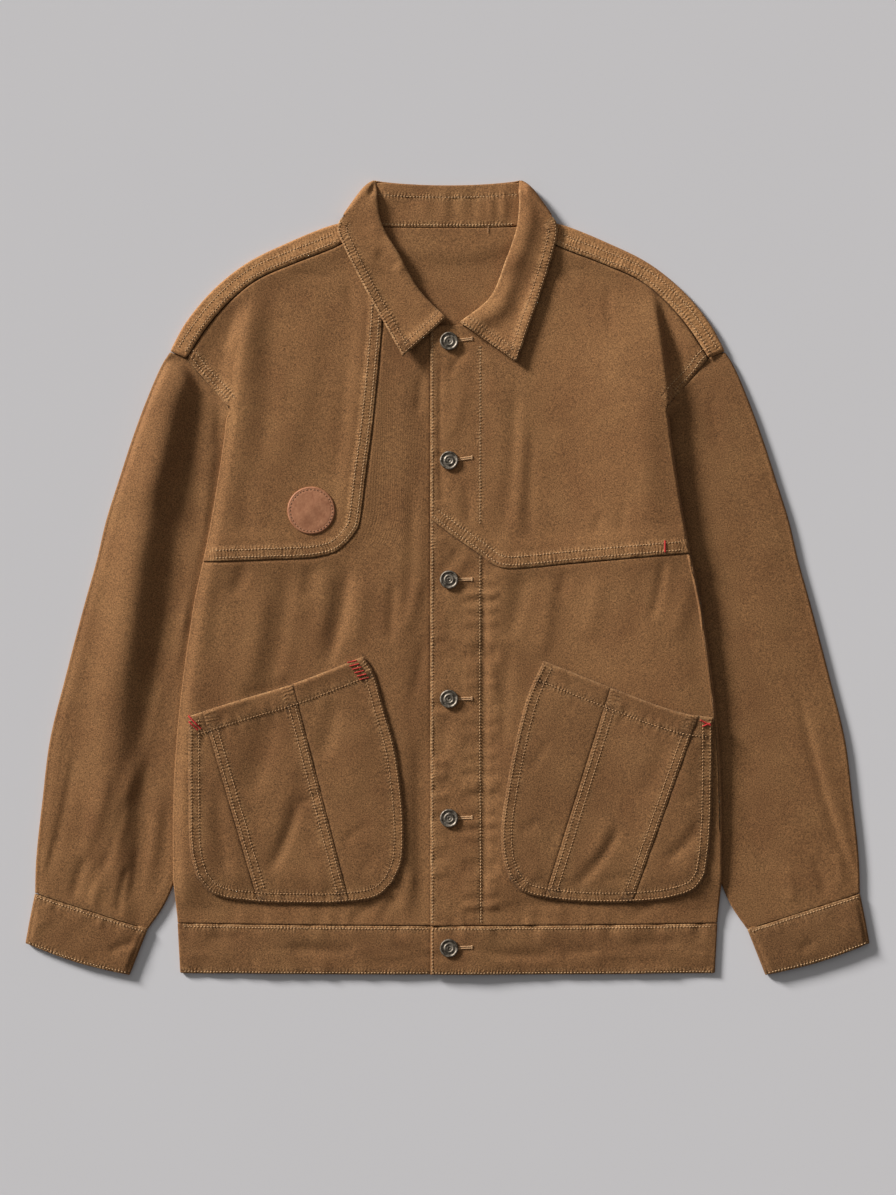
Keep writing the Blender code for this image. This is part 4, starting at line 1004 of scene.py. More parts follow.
# y, crest, foot, height: the right sleeve's long ridge, the foot of its inner flank, and how high it stands
sleeveRidge = (
    (212, 236, 224, 0.0), (200, 242, 226, 2.2), (186, 248.5, 227, 3.8), (148, 259, 233, 5.4),
    (110, 267.5, 239, 6.2), (73, 277, 246, 6.6), (35, 285, 252, 6.7), (-2, 291, 257, 6.6),
    (-40, 296, 262, 6.1), (-78, 301, 268, 5.4), (-115, 306, 274, 4.6), (-153, 310, 280, 3.8),
    (-190, 312, 284, 3.1), (-228, 312, 286, 2.4), (-266, 310, 287, 1.6), (-297, 308, 288, 0.4))


def sleeveTopFor(side):   # the height of a sleeve's upper wall
    table = sleeveRightFolds if side < 0 else sleeveLeftFolds
    low, high = sleeveShape["rise"] + 0.1, sleeveShape["outerRise"][side]
    silhouette = drawn(sleeveOuter, 60)
    hole = np.array(armhole)[::-1]

    def top(x, y):   # x as it lies on its own side
        near = np.abs(x) - foldOut(y)
        cuff = smooth((y + 345) / 60)
        if side < 0:    # a ridge: outside it falls evenly to the edge, inside it falls steeply to the table
            crest, foot, height = (tableCurve(sleeveRidge, k, y) for k in (1, 2, 3))
            out = np.abs(x) - crest
            form = np.where(out > 0, high + height * (1 - smooth(out / sleeveShape["flank"])),
                            low + (high + height - low) * (1 - smooth(-out / (crest - foot))))
        else:           # low beside the body, rising slowly outwards
            form = low + (high - low) * smooth((near - 10) / 75)
        inside = np.abs(alongLine(np.abs(x), y, silhouette)[0])
        form = form - sleeveShape["edgeFall"][side] * (1 - smooth(inside / 12))
        away = smooth((alongLine(np.abs(x), y, sleeveHead)[0] + 1) / 16)
        seat = frontBase(side * np.interp(y, hole[:, 1], hole[:, 0]), y) - 1.0
        seat = np.where(y > 142, low + (seat - low) * smooth((y - 143) / 9), low)
        free = smooth((near + 1) / 9) * away
        wander = 0.3 * softNoise(x, y, 44, 71) + 0.2 * softNoise(x, y, 21, 72)
        own = folds(table, x, y, sleeveShape["gain"]) + wander * cuff
        return above(seat + (form - seat) * away + free * own, 3.0, 2.2)
    return top


def squareTo(edge):   # unit squares to a line in plan, to its right
    along = np.gradient(edge, axis=0)
    square = np.stack([along[:, 1], -along[:, 0]], 1)
    return square / np.linalg.norm(square, axis=1)[:, None]


def flatTube(name, side, outer, inner, head, end, top, seams, rises, toneAndShade):
    # a flattened tube: upper wall, half circle, lower wall on the table, half circle; the rises are the
    # heights of its outer and inner edge, from its head to its end
    plan = patch(head, end, outer, inner)
    along = shares(outer)[:, None]
    big, small = ((rise[0] + (rise[1] - rise[0]) * smooth(along / 0.12)) / 2 for rise in rises)
    outwards, inwards = -squareTo(outer)[:, None], squareTo(inner)[:, None]
    off = [np.linalg.norm(plan - plan[:, [k]], axis=2) for k in (0, -1)]
    first, last = (np.maximum(0, 1 - d / 12) for d in off)
    plan = plan - (big * first)[..., None] * outwards - (small * last)[..., None] * inwards
    x, y = side * plan[..., 0], plan[..., 1]
    z = top(x, y)
    z = z + (2 * big - z) * smooth(1 - off[0] / 6) + (2 * small - z) * smooth(1 - off[1] / 6)
    angle = np.linspace(math.pi / 2, -math.pi / 2, 8)[None, 1:]

    def turned(start, way, half, angle):   # half a circle at an edge
        return raised(start + (half * np.cos(angle))[..., None] * way, half + half * np.sin(angle))

    pick = np.linspace(plan.shape[1] - 1, 0, 14).astype(int)[1:]
    hollow = (0.5 + 0.5 * softNoise(x, y, 40, 73)) * 0.6   # how far the lower wall stands off the table
    hollow[:, (0, -1)] = 0
    grid = np.concatenate([raised(plan, z), turned(plan[:, -1:], inwards, small, angle),
                           raised(plan[:, pick], hollow[:, pick]),
                           turned(plan[:, :1], outwards, big, angle[:, ::-1])[:, 1:]], axis=1)
    grid = grid[:, ::-1] if side > 0 else grid * (-1, 1, 1)
    low = grid[..., 2] < cloth["underside"]
    return shell(name, grid, toneAndShade, seams, ring=True, mirrored=True, plain=low)


def makeSleeve(name, side):   # from the armhole to the cuff's seam
    lengthStops = stopsFor(520, cloth["step"])
    outer, inner = curve(sleeveOuter, lengthStops), curve(sleeveInner, lengthStops)
    head = curve(armhole, stopsFor(lengthOf(armhole), 3.2)) + (cloth["halfGap"], 0)
    end = curve((sleeveOuter[-1], sleeveInner[-1]), shares(head)) + (0, cloth["halfGap"])
    outer[0], inner[0], outer[-1], inner[-1] = head[0], head[-1], end[0], end[-1]
    seams = [(seamCurves["armhole"], (), True), (drawn(cuffHead, 12), (), True)]
    return flatTube(name, side, outer, inner, head, end, sleeveTopFor(side), seams,
                    sleeveShape["edgeRises"], tonesAndShade["sleeve"][side])


def cuffTopFor(side):   # the height of a cuff's upper wall
    def top(x, y):
        # a double band: 4.9 + 0.9 x (1 - (2v - 1)^4) + a rise with v, v across it, with puckers at its seam
        seam = np.abs(alongLine(np.abs(x), y, lineOf(*cuffHead))[0])
        v = np.clip(seam / 46, 0, 1)
        body = 4.9 + 0.9 * (1 - (2 * v - 1) ** 4) + (1.1 if side > 0 else 0.5) * v
        pucker = rungs(np.abs(x), y, cuffHead, 0, 9, 8, 0.6, 81 + (side > 0))
        return body + pucker + 0.35 * softNoise(x, y, 17, 82) + folds(cuffFolds[side], x, y)
    return top


cuffFolds = {-1: ((-319, -352, -292, -341, 0, 4, -1.3, 0), (-372, -318, -388, -330, 0, 5, 0.6, 0)),
             1: ((330, -352, 345, -340, 0, 5, -0.9, 0), (372, -322, 380, -338, 0, 5, 0.5, 0))}


def makeCuff(name, side):   # from its seam to the opening
    rows = stopsFor(48, 2.0)
    outer, inner = curve(cuffOuter, rows), curve(cuffInner, rows)
    head = curve(cuffHead, stopsFor(111, 2.3)) - (0, cloth["halfGap"])
    end = curve(cuffEnd, shares(head))
    outer[0], inner[0], outer[-1], inner[-1] = head[0], head[-1], end[0], end[-1]
    seams = [(head, (2.6,), True), (end, (2.0,), True)]
    return flatTube(name, side, outer, inner, head, end, cuffTopFor(side), seams,
                    ((4.8, 4.8), (4.4, 4.4)), tonesAndShade["cuff"][side])


# Hem band

def bandY(x, share):   # y at a share of the way down the hem band
    top = hemLine(x) - cloth["halfGap"]
    bottom = garment["hemBottom"] - 1.5 * (1 - (x / garment["hemHalf"]) ** 2)
    return top + share * (bottom - top)


def bandLine(x, share):   # the same as points in plan
    return np.stack([x, bandY(x, share)], 1)


hemFolds = (
    (-152, -347, -82, -349, 3, 6, -1.0, 0), (30, -352, 105, -354, 2, 5, -0.9, 0),
    (105, -354, 145, -350, 0, 5, -0.6, 0), (-230, -340, -190, -338, 0, 5, -0.5, 0),
    (170, -345, 220, -343, 0, 6, -0.5, 0), (-60, -340, -20, -343, 0, 6, 0.5, 0))


def bandTop(x, y, over):
    # the front's own height at the seam, puffed across the band by puff x (1 - (2v - 1)^4), with
    # puckers from both rows of stitches
    seam, foot = bandY(x, 0), bandY(x, 1)
    v = np.clip((seam - y) / (seam - foot), 0, 1)
    at = np.full(x.shape, float(garment["hemTop"]))
    base = frontBase(x, at) + (overLayer(x) if over else -0.8 * smooth((x - garment["centreOver"] + 1) / 3))
    high = softNoise(x, 0 * x + 3, 10.5, 91) * (1 - smooth((v - 0.06) / 0.4)) * 1.1
    low = softNoise(x, 0 * x + 9, 9.5, 92) * smooth((v - 0.55) / 0.4) * 0.6
    lines = 0.45 * softNoise(0.18 * x, y, 6.5, 94) * smooth((v - 0.25) / 0.2)
    side = smooth((250 - np.abs(x)) / 10)
    return base + side * (0.7 * (1 - (2 * v - 1) ** 4) + high + low + lines + folds(hemFolds, x, y, 1.5)
                          + 0.3 * softNoise(x, y, 24, 93))


def bandTopFor(over):   # the same for one of the two fronts
    return lambda x, y: bandTop(x, y, over)


def makeHemBand():
    # from the under front's free edge round to the back, and round again to the over front's
    rows = []
    under, over = garment["centreUnder"], garment["centreOver"]
    radius = cloth["sideRise"] / 2
    angle = np.linspace(math.pi / 2, -math.pi / 2, 8)[1:]
    out, up = radius * np.cos(angle), radius * np.sin(angle)
    for share in stopsFor(47, 2.1, (0.4, 1.0, 1.8)):
        reach = 254 - 2.5 * share - radius
        right = bandLine(under - (under + reach) * stopsFor(272, 2.3, ends=(True, False)), share)
        left = bandLine(reach - (reach - over) * stopsFor(268, 2.3, ends=(False, True)), share)
        upRight, upLeft = raised(right, bandTop(*right.T, False)), raised(left, bandTop(*left.T, True))
        upRight[-1, 2] = upLeft[0, 2] = 2 * radius
        back = raised(bandLine(np.linspace(-reach, reach, 90), share), 0.0)
        y = np.full(7, back[-1, 1])
        around = np.stack([-reach - out, y, radius + up], 1)[:-1]
        other = np.stack([reach + out[::-1], y, radius + up[::-1]], 1)[1:]
        rows.append(np.concatenate([upRight, around, back, other, upLeft]))
    grid = np.array(rows)[:, ::-1]
    x = np.linspace(-garment["hemHalf"], garment["hemHalf"], 120)
    seams = [(bandLine(x, 0), (2.6,), True), (bandLine(x, 1), (1.9,), True)]
    low = grid[..., 2] < cloth["underside"]
    return shell("clothHemBand", grid, tonesAndShade["hem"], seams, wall=2.2, plain=low)


# Collar: a band folded flat round the neck, its back half below and its two leaves above

collar = {
    "leafLow": 7.4, "leafHigh": 9.1,           # height of the leaves at the tip and at the shoulder
    "roll": (1.6, 0.9), "reach": (3.4, 1.6),   # radius and depth of the rolled edge, beside and at the back
    "bow": 5.6,                                # how far the fall's fold bows out
    "standUnder": 1.7, "standTop": 5.1,
}
leafFolds = {
    1: ((80, 305, 34, 246, 3, 8, -0.9, 0), (92, 290, 76, 232, 3, 9, 0.5, 0),
        (62, 262, 40, 236, 0, 6, 0.5, 0)),
    -1: ((-68, 304, -44, 292, 2, 4.5, -1.3, 0), (-58, 318, -40, 287, -3, 5, 0.8, 0),
         (-84, 300, -58, 235, 4, 13, 0.5, 0), (-74, 330, -64, 305, 0, 7, 0.6, 0))}


def foldShape(stops):
    # half width, half height and bow of the fall's fold: both taper to its ends, bow x (1 - e^(-s / 0.16))
    run = 44 * stops
    wide = collar["leafHigh"] / 2 * (0.3 + 0.7 * smooth(run / 10)) * (1 - 0.62 * smooth((run - 30) / 14))
    tall = collar["leafHigh"] / 2 * (0.4 + 0.6 * smooth(run / 12))
    return wide, tall, collar["bow"] * (1 - np.exp(-stops / 0.16))


def foldSquare(corner, end):   # the outward square to a fold
    way = np.subtract(end, corner) / math.dist(corner, end)
    return np.array([-way[1], way[0]])


def foldInside(corner, end, stops, wide, bow):   # where a fold's round edge starts, in plan
    line = np.asarray(corner) + stops[:, None] * np.subtract(end, corner)
    return line + (bow - wide)[:, None] * foldSquare(corner, end)


def leafCurves(side):   # a leaf's roll edge and outer edge, from the fold to the front
    ends = np.array([0.0, 1.0])
    shape = foldShape(ends)
    starts = foldInside(rollCorner, fallCorner, ends, shape[0], shape[2])
    return [drawn((tuple(start),) + edge, 50) for start, edge in zip(starts, leafEdges[side])]


def leafTopFor(side):   # the height of a leaf's upper face
    roll, outer = leafCurves(side)
    front = np.array([roll[-1], outer[-1]])

    def top(x, y):   # soft roll along the folded edge, edges that stand up a little at the tip
        def off(line):   # distance from a line
            return np.abs(alongLine(np.abs(x), y, line)[0])

        away, edge = off(roll), np.minimum(off(outer), off(front))
        start = smooth((off(np.array([roll[0], outer[0]])) - 1) / 12)
        tip = 1 - smooth(np.hypot(np.abs(x) - outer[-1, 0], y - outer[-1, 1]) / 46)
        base = collar["leafLow"] + (collar["leafHigh"] - collar["leafLow"]) * smooth((y - 280) / 20)
        swell = 2.5 * np.exp(-((away - 10.5) / 9) ** 2) if side > 0 else 0.9 * np.exp(-((away - 4) / 8) ** 2)
        lift = (2.2 if side > 0 else 1.9) * (1 - smooth(edge / 15)) * smooth((318 - y) / 70)
        hollow = -0.3 * smooth((edge - 8) / 3)
        pucker = (rungs(np.abs(x), y, outer, 0.5, 9, 8.5, 0.4, 101 + side)
                  + rungs(np.abs(x), y, front, 0.5, 9, 8.5, 0.35, 105 + side))
        return base + start * (swell + lift + hollow + pucker + (2.6 if side > 0 else 3.4) * tip
                               + folds(leafFolds[side], x, y) + 0.35 * softNoise(x, y, 19, 107))
    return top


def collarBand(name, halves, corner, end, backFirst, backLast, tops, under, stops, flange, seams):
    # a leaf, half a turn round the fold at the shoulder, the band behind, another turn and the other leaf.
    # A flange is the fall: its first row rolls under to the stand
    high = collar["leafHigh"] if flange else collar["standTop"]
    even = (high - under) / 2 * (0.45 + 0.55 * smooth(38 * stops / 12))
    wide, tall, bow = foldShape(stops) if flange else (even, even, 0 * even)
    out = foldSquare(corner, end)
    segment = foldInside(corner, end, stops, wide, bow)
    parts = {}
    for side, (near, far) in halves.items():
        count = stopsFor(150, 2.2, ends=(False, True))
        near = curve((tuple(segment[0]),) + near, count)
        far = curve((tuple(segment[-1]),) + far, count)
        front = near[-1] + stops[:, None] * (far[-1] - near[-1])
        leaf = patch(segment, front, near, far)
        z = tops[side](side * leaf[..., 0], leaf[..., 1])
        away = np.linalg.norm(leaf - segment[None], axis=2)
        z += (under + 2 * tall - high) * (1 - smooth(away / 16))
        z[0] = under + 2 * tall
        leaf = raised(leaf, z).transpose(1, 0, 2)
        angle = np.linspace(math.pi / 2, -math.pi / 2, 12)[1:-1]
        arc = np.zeros((len(stops), len(angle), 3))
        arc[..., :2] = segment[:, None] + wide[:, None, None] * np.cos(angle)[None, :, None] * out
        arc[..., 2] = under + tall[:, None] * (1 + np.sin(angle))
        parts[side] = np.concatenate([arc[:, ::-1], leaf], axis=1) * (side, 1, 1)
    across = np.linspace(-1, 1, 64)
    first, last = (np.stack([across * x, line(across * x) + (y - line(x)) * across ** 6], 1)
                   for (x, y), line in ((segment[0], backFirst), (segment[-1], backLast)))
    plan = patch(first, last, segment * (-1, 1), segment)
    x, y = plan[..., 0], plan[..., 1]
    free = smooth((1 - np.abs(across)) / 0.15)[None]
    rise = free * (0.35 + 0.35 * softNoise(x, y, 15, 111))
    crease = 1.1 * np.exp(-(np.abs(np.abs(x - 47) - 6) / 3) ** 2) + 0.8 * softNoise(x, 0 * y + 4, 9, 112)
    rise = rise + free * crease * np.sin(math.pi * stops)[:, None]
    behind = raised(plan, under + rise * (0 if flange else 1))
    grid = np.concatenate([parts[-1][:, ::-1], behind, parts[1]], axis=1)
    if flange:
        along = np.gradient(grid[0], axis=0)
        down = grid[1] - grid[0]
        inward = np.cross(down, along)
        inward /= np.linalg.norm(inward, axis=1)[:, None]
        down /= np.linalg.norm(down, axis=1)[:, None]
        # at the back the fold is low, under the stand's edge
        low = np.pad(smooth((1 - np.abs(across)) / 0.08), (parts[-1].shape[1], parts[1].shape[1]))
        r, reach = ((side + (back - side) * low)[:, None] for side, back in (collar["roll"], collar["reach"]))
        turn = [grid[0] + (reach - share * (reach - r)) * inward for share in (0, 0.28, 0.5)]
        turn += [grid[0] + r * ((1 - math.cos(t)) * down + (1 - math.sin(t)) * inward)
                 for t in np.linspace(0, math.pi / 2, 5)[:-1]]
        body = grid.copy()
        body[0] = grid[0] + r * down
        grid = np.concatenate([np.array(turn), body])
    return shell(name, grid[:, ::-1], tonesAndShade["fall" if flange else "stand"], seams)


def makeCollarFall():   # its two leaves, and the part behind the neck between its roll and its edge
    seams = []
    for side in (1, -1):
        near, far = leafCurves(side)
        front = np.array([near[-1], far[-1]])
        seams += [(far * (side, 1), (1.6, 8.6), True), (front * (side, 1), (1.6, 8.6), True),
                  (near * (side, 1), (), True)]
    tops = {side: leafTopFor(side) for side in (1, -1)}
    return collarBand("clothCollarFall", leafEdges, rollCorner, fallCorner, rollEdge, fallEdge, tops, 0.0,
                      stopsFor(44, 2.2, ends=(False, True)), True, seams)


def makeCollarStand():   # inside the fall, its ends drawn in from the leaves' roll
    halves = {}
    for side in (1, -1):
        edge = leafEdges[side][0]
        (x0, y0), (x1, y1) = edge[-2:]
        front = (x0 + 0.5 * (x1 - x0) + 2.4, y0 + 0.5 * (y1 - y0) - 2.2)
        near = tuple((x + 2, y - 1.2) for x, y in edge[:-1]) + (front,)
        seam = tuple((x - 1.7, y + 1.1) for x, y in neckLine[2:-1][::-1]) + ((30, 244),)
        halves[side] = (near, seam)

    def upper(x):
        return rollEdge(x) - 0.2

    def lower(x):
        return neckSeam(x) + 0.3

    tops = {side: level(collar["standTop"]) for side in (1, -1)}
    seams = [(standRow(), (0,), False), (neckRow(), (0,), True)]
    return collarBand("clothCollarStand", halves, standCorner, standEnd, upper, lower, tops,
                      collar["standUnder"], stopsFor(38, 2.1), False, seams)


def standRow():   # the row of stitches along the stand's upper edge
    x = np.linspace(-66, 66, 40)
    return np.stack([x, 357.5 + 2.5 * (x / 66) ** 2], 1)


def neckRow():   # and the one along the neck
    x = np.linspace(-62, 62, 40)
    return np.stack([x, neckSeam(x) + 2.6], 1)


# Patch pockets, three panels each

# edges from the outer or upper end, and where the two seams meet the top and the bottom, as shares of them
pocketShapes = {
    -1: {
        "top": ((-243, -130), (-196, -115), (-146, -100), (-79, -74)),
        "inner": ((-79, -74), (-70, -86), (-59, -122), (-49, -157), (-43, -195), (-40, -237), (-42, -268),
                  (-50, -287)),
        "bottom": ((-235, -282), (-220, -298), (-188, -305), (-146, -307), (-94, -306), (-64, -300),
                   (-50, -287)),
        "outer": ((-243, -130), (-243, -205), (-241, -260), (-235, -282)),
        "seams": ((0.08, 0.33), (0.592, 0.761))},
    1: {
        "top": ((249, -131), (221, -127), (153, -103), (90, -78)),
        "inner": ((90, -78), (75, -111), (63, -157), (54, -205), (50, -237), (52, -265), (58, -283)),
        "bottom": ((243, -279), (233, -293), (209, -302), (172, -306), (131, -306), (92, -302), (71, -296),
                   (58, -283)),
        "outer": ((249, -131), (249, -185), (247, -248), (243, -279)),
        "seams": ((0.08, 0.393), (0.598, 0.805))},
}
# hem is how far below the top its row runs, felled is how high the lapped seams stand
pocket = {"puff": 1.3, "layer": 1.35, "step": 2.2, "hem": 19, "felled": 0.28}
pocketSides = ("bottom", "outer", "inner")


def pocketLines(side):   # its edges and seams, and "all" round it
    shape = pocketShapes[side]
    edges = {part: drawn(shape[part], 60) for part in ("top", *pocketSides)}
    for number, (a, b) in enumerate(shape["seams"]):
        ends = (curve(shape[part], np.array([0, at, 1]))[1] for part, at in (("top", a), ("bottom", b)))
        edges[f"seam{number}"] = drawn(tuple(ends), 30)
    parts = (edges["top"], edges["inner"], edges["bottom"][::-1], edges["outer"][::-1])
    edges["all"] = np.concatenate([part[:-1:2] for part in parts] + [edges["top"][:1]])
    return edges


pocketCurves = {side: pocketLines(side) for side in (-1, 1)}


def pocketOutlines(side):   # its four edges
    return [pocketCurves[side][part] for part in ("top", *pocketSides)]


def pocketTopFor(side):   # the height of a pocket
    lines = pocketCurves[side]
    own = pocketRightFolds if side < 0 else pocketLeftFolds
    front = rightTop if side < 0 else overTop
    hemRow = moved(lines["top"], side * pocket["hem"])

    def top(x, y):   # the front below + one layer + a soft puff off its edges + folds + felled seams
        off = {part: np.abs(alongLine(x, y, lines[part])[0]) for part in ("top", *pocketSides)}
        sides, upper = np.minimum.reduce([off[part] for part in pocketSides]), off["top"]
        swell = pocket["puff"] * smooth((sides - 2) / 26)
        hem = 0.7 * (1 - smooth((upper - 17) / 3.5)) + 0.5 * smooth((14 - upper) / 14)
        seat = front(x, y)
        total = seat + pocket["layer"] + swell + hem + folds(own, x, y, 0.95, 1.4) * smooth(sides / 9)
        for number, line in enumerate((lines["seam0"], lines["seam1"])):
            d, s = alongLine(x, y, line)
            inside = -d * side * (1 if number == 0 else -1)    # positive on the middle panel
            felled = smooth((inside + 0.5) / 1.5) * (1 - smooth((inside - 4) / 12))
            total = total + felled * (pocket["felled"] + 0.35 * softNoise(s, 0 * s + number, 6, 121 + number))
            total = total - 0.3 * np.exp(-(inside / 1.2) ** 2)
        for number, part in enumerate(pocketSides):
            total = total + rungs(x, y, lines[part], 0.5, 10, 7, 0.5, 131 + number)
        total = total + rungs(x, y, hemRow, 0.3, 6, 7, 0.5, 138 + side)
        total = total - 0.55 * (1 - smooth(sides / 3)) * smooth(upper / 12)
        return above(total, seat + 0.8, 3.0)
    return top


def makePocket(side):   # three panels between the shares at which the seams meet its top and bottom
    shape, lines, top = pocketShapes[side], pocketCurves[side], pocketTopFor(side)
    label = "Right" if side < 0 else "Left"
    cutsAt = ((0, 0), *shape["seams"], (1, 1))
    rows = stopsFor(190, pocket["step"])
    made = []
    for number, place in enumerate(("outer", "middle", "inner")):
        (ta, la), (tb, lb) = cutsAt[number:number + 2]
        share = stopsFor(190 * ((tb - ta) + (lb - la)) / 2, pocket["step"])
        topRow = curve(shape["top"], ta + share * (tb - ta))
        lowRow = curve(shape["bottom"], la + share * (lb - la))
        ends = [curve(shape["outer"] if number == 0 else (topRow[0], lowRow[0]), rows),
                curve(shape["inner"] if number == 2 else (topRow[-1], lowRow[-1]), rows)]
        for end, k in zip(ends, (0, -1)):
            end[0], end[-1] = topRow[k], lowRow[k]
        plan = patch(topRow, lowRow, *ends)
        gap = -0.3 * side   # the panels lap a little
        plan[..., 0] += np.linspace(-gap if number > 0 else 0, gap if number < 2 else 0, plan.shape[1])
        grid = raised(plan, top(plan[..., 0], plan[..., 1]))
        if side > 0:
            grid = grid[:, ::-1]
        seams = [(lines["top"], (pocket["hem"],), True)]
        seams += [(lines[part], (3.0, 10.0), False) for part in pocketSides]
        seams += [(lines[f"seam{k}"], (3.2, 9.2) if number == 1 else (), False) for k in (0, 1)]
        paintedShadeEdges = [lines[part] for part in ("seam0", "seam1", *pocketSides)]
        name = f"clothPocket{label}{place.capitalize()}"
        piece = shell(name, grid, tonesAndShade["pocket"][side], seams, paintedShadeEdges)
        made.append((piece, f"pocket_{label.lower()}_{place}"))
    return made


# Stitches: each is a small capsule along the thread, half sunk, its ends dipping into the cloth

stitch = {"pitch": 3.0, "length": 2.1, "radius": 0.47, "raise": 0.24, "dip": 0.34}


def capsuleTemplate():
    # rings at -0.68, 0 and 0.68 of the half length, with poles: along, cos and sin
    sides = 5
    angle = 2 * math.pi * np.arange(sides) / sides
    points = [(-1, 0, 0)]
    for at, wide in ((-0.68, 0.8), (0, 1.0), (0.68, 0.8)):
        points += [(at, wide * math.cos(a), wide * math.sin(a)) for a in angle]
    points.append((1, 0, 0))
    faces = []
    for k in range(sides):
        n = (k + 1) % sides
        faces += [(0, 1 + n, 1 + k), (3 * sides + 1, 2 * sides + 1 + k, 2 * sides + 1 + n)]
        for ring in (0, 1):
            a, b = 1 + ring * sides + k, 1 + ring * sides + n
            faces += [(a, b, b + sides), (a, b + sides, a + sides)]
    return np.array(points), np.array(faces)


def capsules(starts, stops, radius, dip):
    # every capsule at once: start + stop blended along it, ring offsets square to it
    points, faces = capsuleTemplate()
    middle, half = (starts + stops) / 2, (stops - starts) / 2
    way = half / np.linalg.norm(half, axis=1)[:, None]
    aside = np.cross(way, (0, 0, 1.0))
    aside /= np.linalg.norm(aside, axis=1)[:, None]
    up = np.cross(aside, way)
    radius = np.broadcast_to(np.asarray(radius, float), (len(starts),))[:, None, None]
    vertices = (middle[:, None] + points[None, :, :1] * half[:, None]
                + radius * (points[None, :, 1:2] * aside[:, None] + points[None, :, 2:] * up[:, None]))
    vertices[..., 2] -= dip * points[None, :, 0] ** 2
    count = len(points)
    index = faces[None] + (np.arange(len(starts)) * count)[:, None, None]
    return vertices.reshape(-1, 3), index.reshape(-1, 3)


def stitchRow(line, top, seed, lift=0.0, pitch=stitch["pitch"]):
    # stitches at an even pitch along a polyline in plan, each a little off its length and line
    along = arcs(line)
    count = max(1, int(along[-1] / pitch))
    random = np.random.default_rng(seed)
    at = (np.arange(count) + 0.5) * along[-1] / count + random.normal(0, 0.10, count)
    half = stitch["length"] / 2 * random.uniform(0.88, 1.06, count) * pitch / stitch["pitch"]
    ends = []
    wobble = random.normal(0, 0.09, (2, count))
    run = np.gradient(line, axis=0)
    run /= np.maximum(np.linalg.norm(run, axis=1)[:, None], 1e-9)
    for k, shift in enumerate((-half, half)):
        where = np.clip(at + shift, 0, along[-1])
        x, y = (np.interp(where, along, line[:, n]) for n in (0, 1))
        ux, uy = (np.interp(at, along, run[:, n]) for n in (0, 1))
        x, y = x - uy * wobble[k], y + ux * wobble[k]
        ends.append(np.stack([x, y, top(x, y) + stitch["raise"] + lift], 1))
    return ends


def joined(name, pairs, finish, radius=stitch["radius"], dip=stitch["dip"]):
    # rows of stitches as one piece
    starts, stops = (np.concatenate([pair[k] for pair in pairs]) for k in (0, 1))
    vertices, faces = capsules(starts, stops, radius, dip)
    made = meshFrom(name, vertices, [faces], finish)
    print(f"{name}: {len(starts)} stitches, {len(faces)} triangles")
    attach(made, "root")


